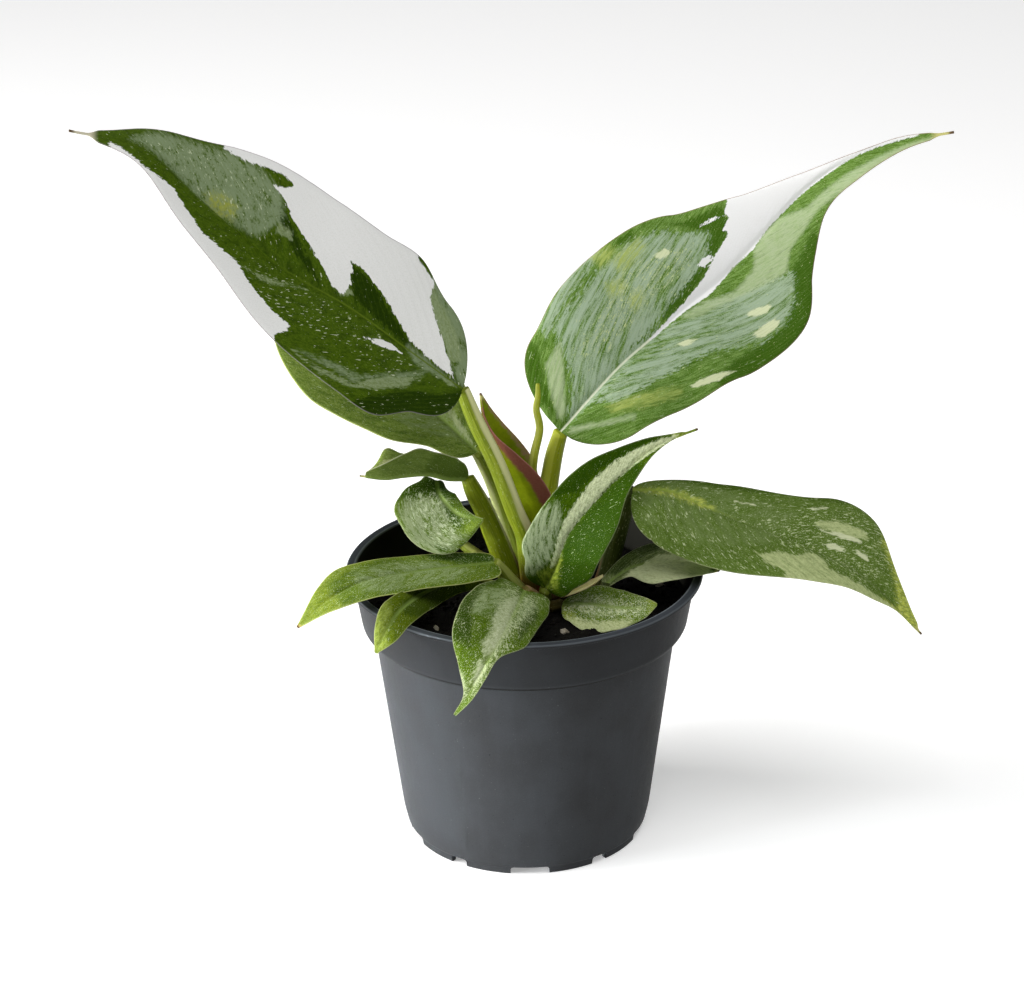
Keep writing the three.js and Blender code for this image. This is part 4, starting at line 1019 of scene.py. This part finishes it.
def make_pot():
    lip_foot = POT_HEIGHT - LIP_DEPTH
    profile = rounded_profile([
        (0, FOOT_HEIGHT),
        (FOOT_INNER_RADIUS, FOOT_HEIGHT, 0.3),
        (FOOT_INNER_RADIUS, 0, 0.3),
        (FOOT_RADIUS, 0, 0.4),
        (FOOT_RADIUS + 0.4, FOOT_HEIGHT, 0.5),
        (FOOT_RADIUS + 0.9, FOOT_HEIGHT + 0.5, 0.2),
        (WALL_FOOT_RADIUS, WALL_FOOT_HEIGHT, 2.5),
        (WALL_TOP_RADIUS, COLLAR_FOOT_HEIGHT, 0.6),
        (COLLAR_FOOT_RADIUS - 0.9, COLLAR_FOOT_HEIGHT, 0.5),
        (COLLAR_FOOT_RADIUS + 0.2, COLLAR_FOOT_HEIGHT + 1.6, 0.8),
        (COLLAR_TOP_RADIUS, lip_foot - 0.3, 0.3),
        (LIP_RADIUS, lip_foot, 0.35),
        (LIP_RADIUS, POT_HEIGHT, 0.45),
        (LIP_INNER_RADIUS, POT_HEIGHT, 0.5),
        (COLLAR_TOP_RADIUS - WALL, lip_foot - 0.8, 0.4),
        (COLLAR_FOOT_RADIUS + 0.4 - WALL, COLLAR_FOOT_HEIGHT + 1.4, 0.5),
        (WALL_TOP_RADIUS - WALL, COLLAR_FOOT_HEIGHT - 0.6, 0.5),
        (WALL_FOOT_RADIUS - WALL - 0.6, FLOOR_TOP, 0.8),
        (0, FLOOR_TOP),
    ])
    pot = turned("nursery_pot", profile, POT_SEGMENTS)
    pitch = 360 / NOTCH_PAIRS
    for pair in range(NOTCH_PAIRS):
        angle = FIRST_NOTCH_ANGLE + pair * pitch
        cut_round(pot, notch_cutter(WIDE_NOTCH), angle, FOOT_RADIUS)
        cut_round(pot, notch_cutter(NARROW_NOTCH), angle + pitch / 2, FOOT_RADIUS)
    for hole in range(DRAIN_HOLES):
        cut_round(pot, drain_cutter(), hole * 360 / DRAIN_HOLES, DRAIN_CIRCLE_RADIUS)
    evaluated = pot.evaluated_get(bpy.context.evaluated_depsgraph_get())
    mesh = bpy.data.meshes.new_from_object(evaluated)
    for modifier in pot.modifiers:
        bpy.data.objects.remove(modifier.object)
    pot.modifiers.clear()
    pot.data = mesh
    mesh.materials.clear()
    mesh.polygons.foreach_set("use_smooth", [True] * len(mesh.polygons))
    mesh.set_sharp_from_angle(angle=SHARP_EDGE)
    return pot


def pot_material():
    g = Graph("pot_plastic")
    place = g.place()
    x, y, z = g.parts(place)
    flow = g.noise(g.combine(g.scaled(x, 0.5), g.scaled(y, 0.5), g.scaled(z, 0.05)), 0.35, 3, 0.6)
    cloud = g.noise(place, 0.05, 3, 0.55)
    grain = g.noise(place, 2.6, 3, 0.6)
    scuff = g.noise(g.combine(x, y, g.scaled(z, 0.3)), 0.9, 4, 0.7)
    dust = g.noise(place, 1.6, 1)
    colour = g.mix(g.smooth(cloud, 0.3, 0.7), tone(48, 49, 50), tone(53, 55, 57))
    marks = ((flow, 0.45, 0.75, 0.1, (67, 70, 75)), (grain, 0.4, 0.7, 0.12, (72, 74, 78)),
             (scuff, 0.66, 0.78, 0.25, (72, 75, 82)), (dust, 0.76, 0.8, 0.3, (110, 110, 108)),
             (dust, 0.26, 0.2, 0.6, (20, 20, 20)))
    for noise, low, high, strength, mark_tone in marks:
        colour = g.layer(colour, g.smooth(noise, low, high), strength, tone(*mark_tone))
    # painted shadow in a thin line under the collar's edge
    above = g.scaled(z, 1, -COLLAR_FOOT_HEIGHT - 0.2)
    colour = g.layer(colour, g.smooth(g.math("ABSOLUTE", above), 1.3, 0.5), 0.75, tone(16, 16, 17))
    # painted shade: the collar is darker than the wall below it
    collar = g.smooth(z, COLLAR_FOOT_HEIGHT - 1, COLLAR_FOOT_HEIGHT + 3)
    colour = g.layer(colour, collar, 0.5, tone(30, 31, 32))
    # painted shade on the inside, which is where the collar's outer face lies well beyond the point
    radius = g.math("POWER", g.plus(g.times(x, x), g.times(y, y)), 0.5)
    slope = (COLLAR_TOP_RADIUS - COLLAR_FOOT_RADIUS) / (POT_HEIGHT - COLLAR_FOOT_HEIGHT)
    collar_radius = g.scaled(z, slope, COLLAR_FOOT_RADIUS - COLLAR_FOOT_HEIGHT * slope)
    depth = g.math("SUBTRACT", collar_radius, radius)
    inside = g.times(g.smooth(depth, WALL * 0.3, WALL * 0.55), collar)
    colour = g.layer(colour, inside, 0.9, tone(30, 30, 24))
    # lip, with a painted highlight along both its edges
    lip = g.smooth(z, POT_HEIGHT - LIP_DEPTH * 0.6, POT_HEIGHT - 0.1)
    inner_edge_highlight = g.smooth(radius, LIP_INNER_RADIUS + 0.9, LIP_INNER_RADIUS + 0.3)
    outer_edge_highlight = g.smooth(radius, LIP_RADIUS - 0.6, LIP_RADIUS - 0.1)
    rim = g.times(lip, g.plus(inner_edge_highlight, g.scaled(outer_edge_highlight, 0.5), clamp=True))
    colour = g.layer(colour, lip, 0.9, tone(58, 62, 67))
    colour = g.layer(colour, rim, 0.7, tone(112, 118, 122))
    g.bump(g.plus(g.scaled(grain, 0.6), g.scaled(flow, 1.2)), 0.00012, 0.5)
    return g.finish(colour, g.plus(g.scaled(scuff, 0.2, 0.34), g.scaled(cloud, 0.08)), 0.03)


# Soil, crumbs and perlite

def crumb_height(x, y):
    coarse = np.sin(0.31 * x + 0.4) * np.cos(0.27 * y - 0.8)
    return SOIL_CRUMB * (coarse + 0.6 * np.sin(0.43 * x - 0.35 * y + 1.7))


def soil_height(x, y):
    fine = 0.25 * np.sin(1.9 * x + 0.7 * y) * np.sin(1.6 * y - 0.4 * x)
    edge = np.clip((SOIL_RADIUS - np.hypot(x, y)) / 4, 0, 1)
    return SOIL_LEVEL + (crumb_height(x, y) + fine) * edge - 0.6 * (1 - edge)


def uneven_top(points):
    top = points[:, 2] > SOIL_LEVEL - 0.01
    points[top, 2] = soil_height(points[top, 0], points[top, 1])
    return points


def make_soil():
    profile = [(0, FLOOR_TOP + 0.3), (WALL_FOOT_RADIUS - WALL - 1, FLOOR_TOP + 0.3),
               (WALL_TOP_RADIUS - WALL - 0.4, COLLAR_FOOT_HEIGHT - 0.4),
               (COLLAR_FOOT_RADIUS + 0.1 - WALL, COLLAR_FOOT_HEIGHT + 1.7)]
    profile += [(radius, SOIL_LEVEL) for radius in np.linspace(SOIL_RADIUS, 0, SOIL_RINGS)]
    return turned("peat_soil", profile, SOIL_SEGMENTS, uneven_top)


def unit_lump():
    """Corners and faces of a twice-divided icosahedron."""
    mesh = bpy.data.meshes.new("lump")
    shape = bmesh.new()
    bmesh.ops.create_icosphere(shape, subdivisions=2, radius=1)
    shape.to_mesh(mesh)
    shape.free()
    corners = np.array([v.co for v in mesh.vertices])
    faces = np.array([p.vertices for p in mesh.polygons])
    bpy.data.meshes.remove(mesh)
    return corners, faces


def make_lumps(name, places, seed):
    """One piece from small lumps with each corner pushed in or out; places are x, y, z, radius."""
    random = np.random.default_rng(seed)
    corners, triangles = unit_lump()
    vertices = []
    for x, y, z, radius in places:
        push = random.uniform(0.72, 1.18, len(corners))
        stretch = random.uniform(0.7, 1.3, 3)
        turn = (Matrix.Rotation(random.uniform(0, 6.28), 3, "Z")
                @ Matrix.Rotation(random.uniform(0, 3.14), 3, "X"))
        lump = corners * push[:, None] * radius * stretch
        vertices.append(lump @ np.array(turn).T + (x, y, z))
    faces = [triangles + i * len(corners) for i in range(len(places))]
    return make_object(name, np.concatenate(vertices), np.concatenate(faces), smooth=False)


def scattered():
    """Random places on the soil, clear of the crown, each with a radius."""
    random = np.random.default_rng(PLACES_SEED)
    edge = SOIL_RADIUS - 1.5
    places = []
    while len(places) < LOOSE_CRUMBS:
        x, y = random.uniform(-edge, edge, 2)
        if math.hypot(x, y) > edge:
            continue
        if math.dist((x, y), CROWN_CENTRE) < CROWN_RADIUS + 1:
            continue
        radius = SMALLEST_CRUMB + (LARGEST_CRUMB - SMALLEST_CRUMB) * random.random() ** 2.5
        if math.dist((x, y), LOW_LEAF_PLACE) < LOW_LEAF_REACH:
            radius = SMALLEST_CRUMB
        places.append((x, y, soil_height(x, y) + 0.2 * radius, radius))
    return places


def grain_material(name, first, second, third, roughness=0.95):
    g = Graph(name)
    place = g.place()
    small = g.noise(place, 2.2, 4, 0.65)
    colour = g.mix(g.smooth(g.noise(place, 0.35, 3, 0.6), 0.35, 0.65), tone(*first), tone(*second))
    colour = g.layer(colour, g.smooth(small, 0.55, 0.75), 0.7, tone(*third))
    g.bump(small, 0.0004, 0.8)
    return g.finish(colour, g.scaled(small, 0.1, roughness - 0.1), 0.1)


# Crown

def make_crown():
    """A short stump, narrowing at its top, with leaf scars and low lobes round it."""
    x, y = CROWN_CENTRE
    angle = np.linspace(0, 2 * np.pi, CROWN_SIDES, endpoint=False)
    share = np.linspace(0, 1, CROWN_RINGS)[:, None]
    height = CROWN_FOOT + share * (CROWN_TOP - CROWN_FOOT)
    narrowing = np.sqrt(np.clip(1 - np.clip((share - 0.45) / 0.57, 0, 1) ** 2.4, 0.02, 1))
    uneven = 0.35 * np.sin(height * 2.1) + 0.3 * np.sin(angle * 9 + 2) + 0.5 * np.sin(angle * 3 + 1)
    reach = (CROWN_RADIUS + 0.6 * uneven) * narrowing - 0.6
    ring = np.stack([x + reach * np.cos(angle), y + reach * np.sin(angle), height + 0 * reach], -1)
    vertices = np.concatenate([ring.reshape(-1, 3), [(x, y, CROWN_FOOT), (x, y, CROWN_TOP)]])
    return make_object("crown_stem", vertices, tube_faces(CROWN_RINGS, CROWN_SIDES))


# Assembly

def add_leaves():
    for name, leaf in LEAVES.items():
        large = name in LARGE_LEAVES
        grid = LARGE_GRID if large else SMALL_GRID
        usual = WIDE_RELIEF if large else SMALL_RELIEF
        relief = {key: leaf.get(key, value) for key, value in usual.items()}
        blade = make_blade(f"blade_{name}", leaf, PATCHES[name], grid, relief)
        skin = leaf_material(f"leaf_{name}_skin", LOOKS[name])
        settle(blade, skin, LEAF_SLOTS.get(name, "leaf_green"), f"leaf_{name}")
        look = {**PLAIN_STALK, **STALK_LOOKS.get(name, {})}
        stalk = make_stalk(f"stalk_{name}", leaf["stalk"], look["facing"])
        settle(stalk, stalk_material(f"stalk_{name}_skin", look), "petiole", f"petiole_{name}")


def add_sheaths():
    sheath = make_blade("sheath_blade", SHEATH, SHEATH_PATCHES, SHEATH_GRID, SHEATH_RELIEF,
                        SHEATH_THICKNESS)
    settle(sheath, leaf_material("sheath_skin", SHEATH_LOOK), "sheath", "sheath")
    scale = make_blade("scale_leaf_blade", SCALE_LEAF, {}, SCALE_GRID, SHEATH_RELIEF, SCALE_THICKNESS)
    settle(scale, leaf_material("scale_leaf_skin", SCALE_LOOK), "scale_leaf", "scale_leaf")
    young = make_stalk("young_leaf_roll", YOUNG_LEAF, YOUNG_LOOK["facing"], YOUNG_SHAPE)
    settle(young, stalk_material("young_leaf_skin", YOUNG_LOOK), "young_leaf", "young_leaf")


def add_pot_and_soil():
    settle(make_pot(), pot_material(), "pot", "pot")
    peat = grain_material("peat", (7, 6, 5), (12, 10, 8), (24, 19, 14))
    settle(make_soil(), peat, "soil", "soil")
    loose = grain_material("peat_crumbs", (8, 7, 6), (15, 12, 10), (40, 30, 22))
    settle(make_lumps("soil_crumbs", scattered(), CRUMBS_SEED), loose, "soil", "soil")
    bark = grain_material("crown_bark", (70, 52, 30), (92, 72, 38), (120, 100, 60), 0.8)
    settle(make_crown(), bark, "crown", "crown")
    places = [(x, y, SOIL_LEVEL + crumb_height(x, y), radius * 0.92) for x, y, radius in PERLITE]
    grains = make_lumps("perlite_grains", places, PERLITE_SEED)
    chalky = grain_material("perlite_skin", (150, 144, 130), (124, 116, 102), (178, 172, 160))
    settle(grains, chalky, "perlite", "perlite_1", "perlite_2", "perlite_3")


def add_floor():
    half = FLOOR_SIZE / 2
    corners = [(-half, -half, 0), (half, -half, 0), (half, half, 0), (-half, half, 0)]
    floor = make_object("floor", corners, [range(4)], smooth=False)
    g = Graph("floor_paint")
    cloud = g.noise(g.place(), 0.0015, 2)
    g.shader.inputs["Emission Color"].default_value = (1, 1, 1, 1)
    g.shader.inputs["Emission Strength"].default_value = FLOOR_GLOW
    colour = g.mix(cloud, tone(246, 246, 246), tone(250, 250, 250))
    floor.data.materials.append(g.finish(colour, 0.9, 0.5))


# Lights, placed in metres

def add_area_light(name, place, size, power, target=(0, 0, 0.14), colour=(1, 1, 1), spread=180):
    light = bpy.data.lights.new(name, "AREA")
    light.spread = math.radians(spread)
    light.shape = "RECTANGLE"
    light.size, light.size_y = size
    light.energy = power
    light.color = colour
    lamp = bpy.data.objects.new(name, light)
    lamp.location = place
    lamp.rotation_euler = (Vector(target) - Vector(place)).to_track_quat("-Z", "Y").to_euler()
    bpy.context.scene.collection.objects.link(lamp)


def add_lights():
    world = bpy.data.worlds.new("studio")
    bpy.context.scene.world = world
    world.use_nodes = True
    background = world.node_tree.nodes["Background"]
    background.inputs["Color"].default_value = (1, 1, 1, 1)
    background.inputs["Strength"].default_value = 0.03
    add_area_light("side", (-0.9, -0.05, 0.3), (0.6, 0.5), 17, colour=(1, 0.99, 0.98))
    add_area_light("high", (0.3, -0.95, 2.1), (1.6, 1.3), 30)
    add_area_light("low", (-0.83, -0.34, 0.05), (0.3, 0.08), 0.24, (0, 0, 0.03), (0.92, 0.96, 1), 14)
    add_area_light("top", (0, 0.9, 2.4), (3, 3), 11)
    add_area_light("window", (-1, -0.5, 1.9), (1.4, 1.2), 6)


def add_camera():
    """Looks at its aim from in front and above, turned a little about its own line of sight."""
    back = Vector((0, -math.cos(CAMERA_ELEVATION), math.sin(CAMERA_ELEVATION)))
    data = bpy.data.cameras.new("camera")
    data.lens = CAMERA_LENS
    data.sensor_width = SENSOR_WIDTH
    data.sensor_fit = "HORIZONTAL"
    camera = bpy.data.objects.new("camera", data)
    camera.matrix_world = (Matrix.Translation((Vector(CAMERA_AIM) + back * CAMERA_DISTANCE) * MM)
                           @ Matrix.Rotation(math.pi / 2 - CAMERA_ELEVATION, 4, "X")
                           @ Matrix.Rotation(CAMERA_ROLL, 4, "Z"))
    bpy.context.scene.collection.objects.link(camera)
    bpy.context.scene.camera = camera


add_camera()
add_pot_and_soil()
add_leaves()
add_sheaths()
add_floor()
add_lights()
bpy.context.scene.view_settings.view_transform = "Standard"
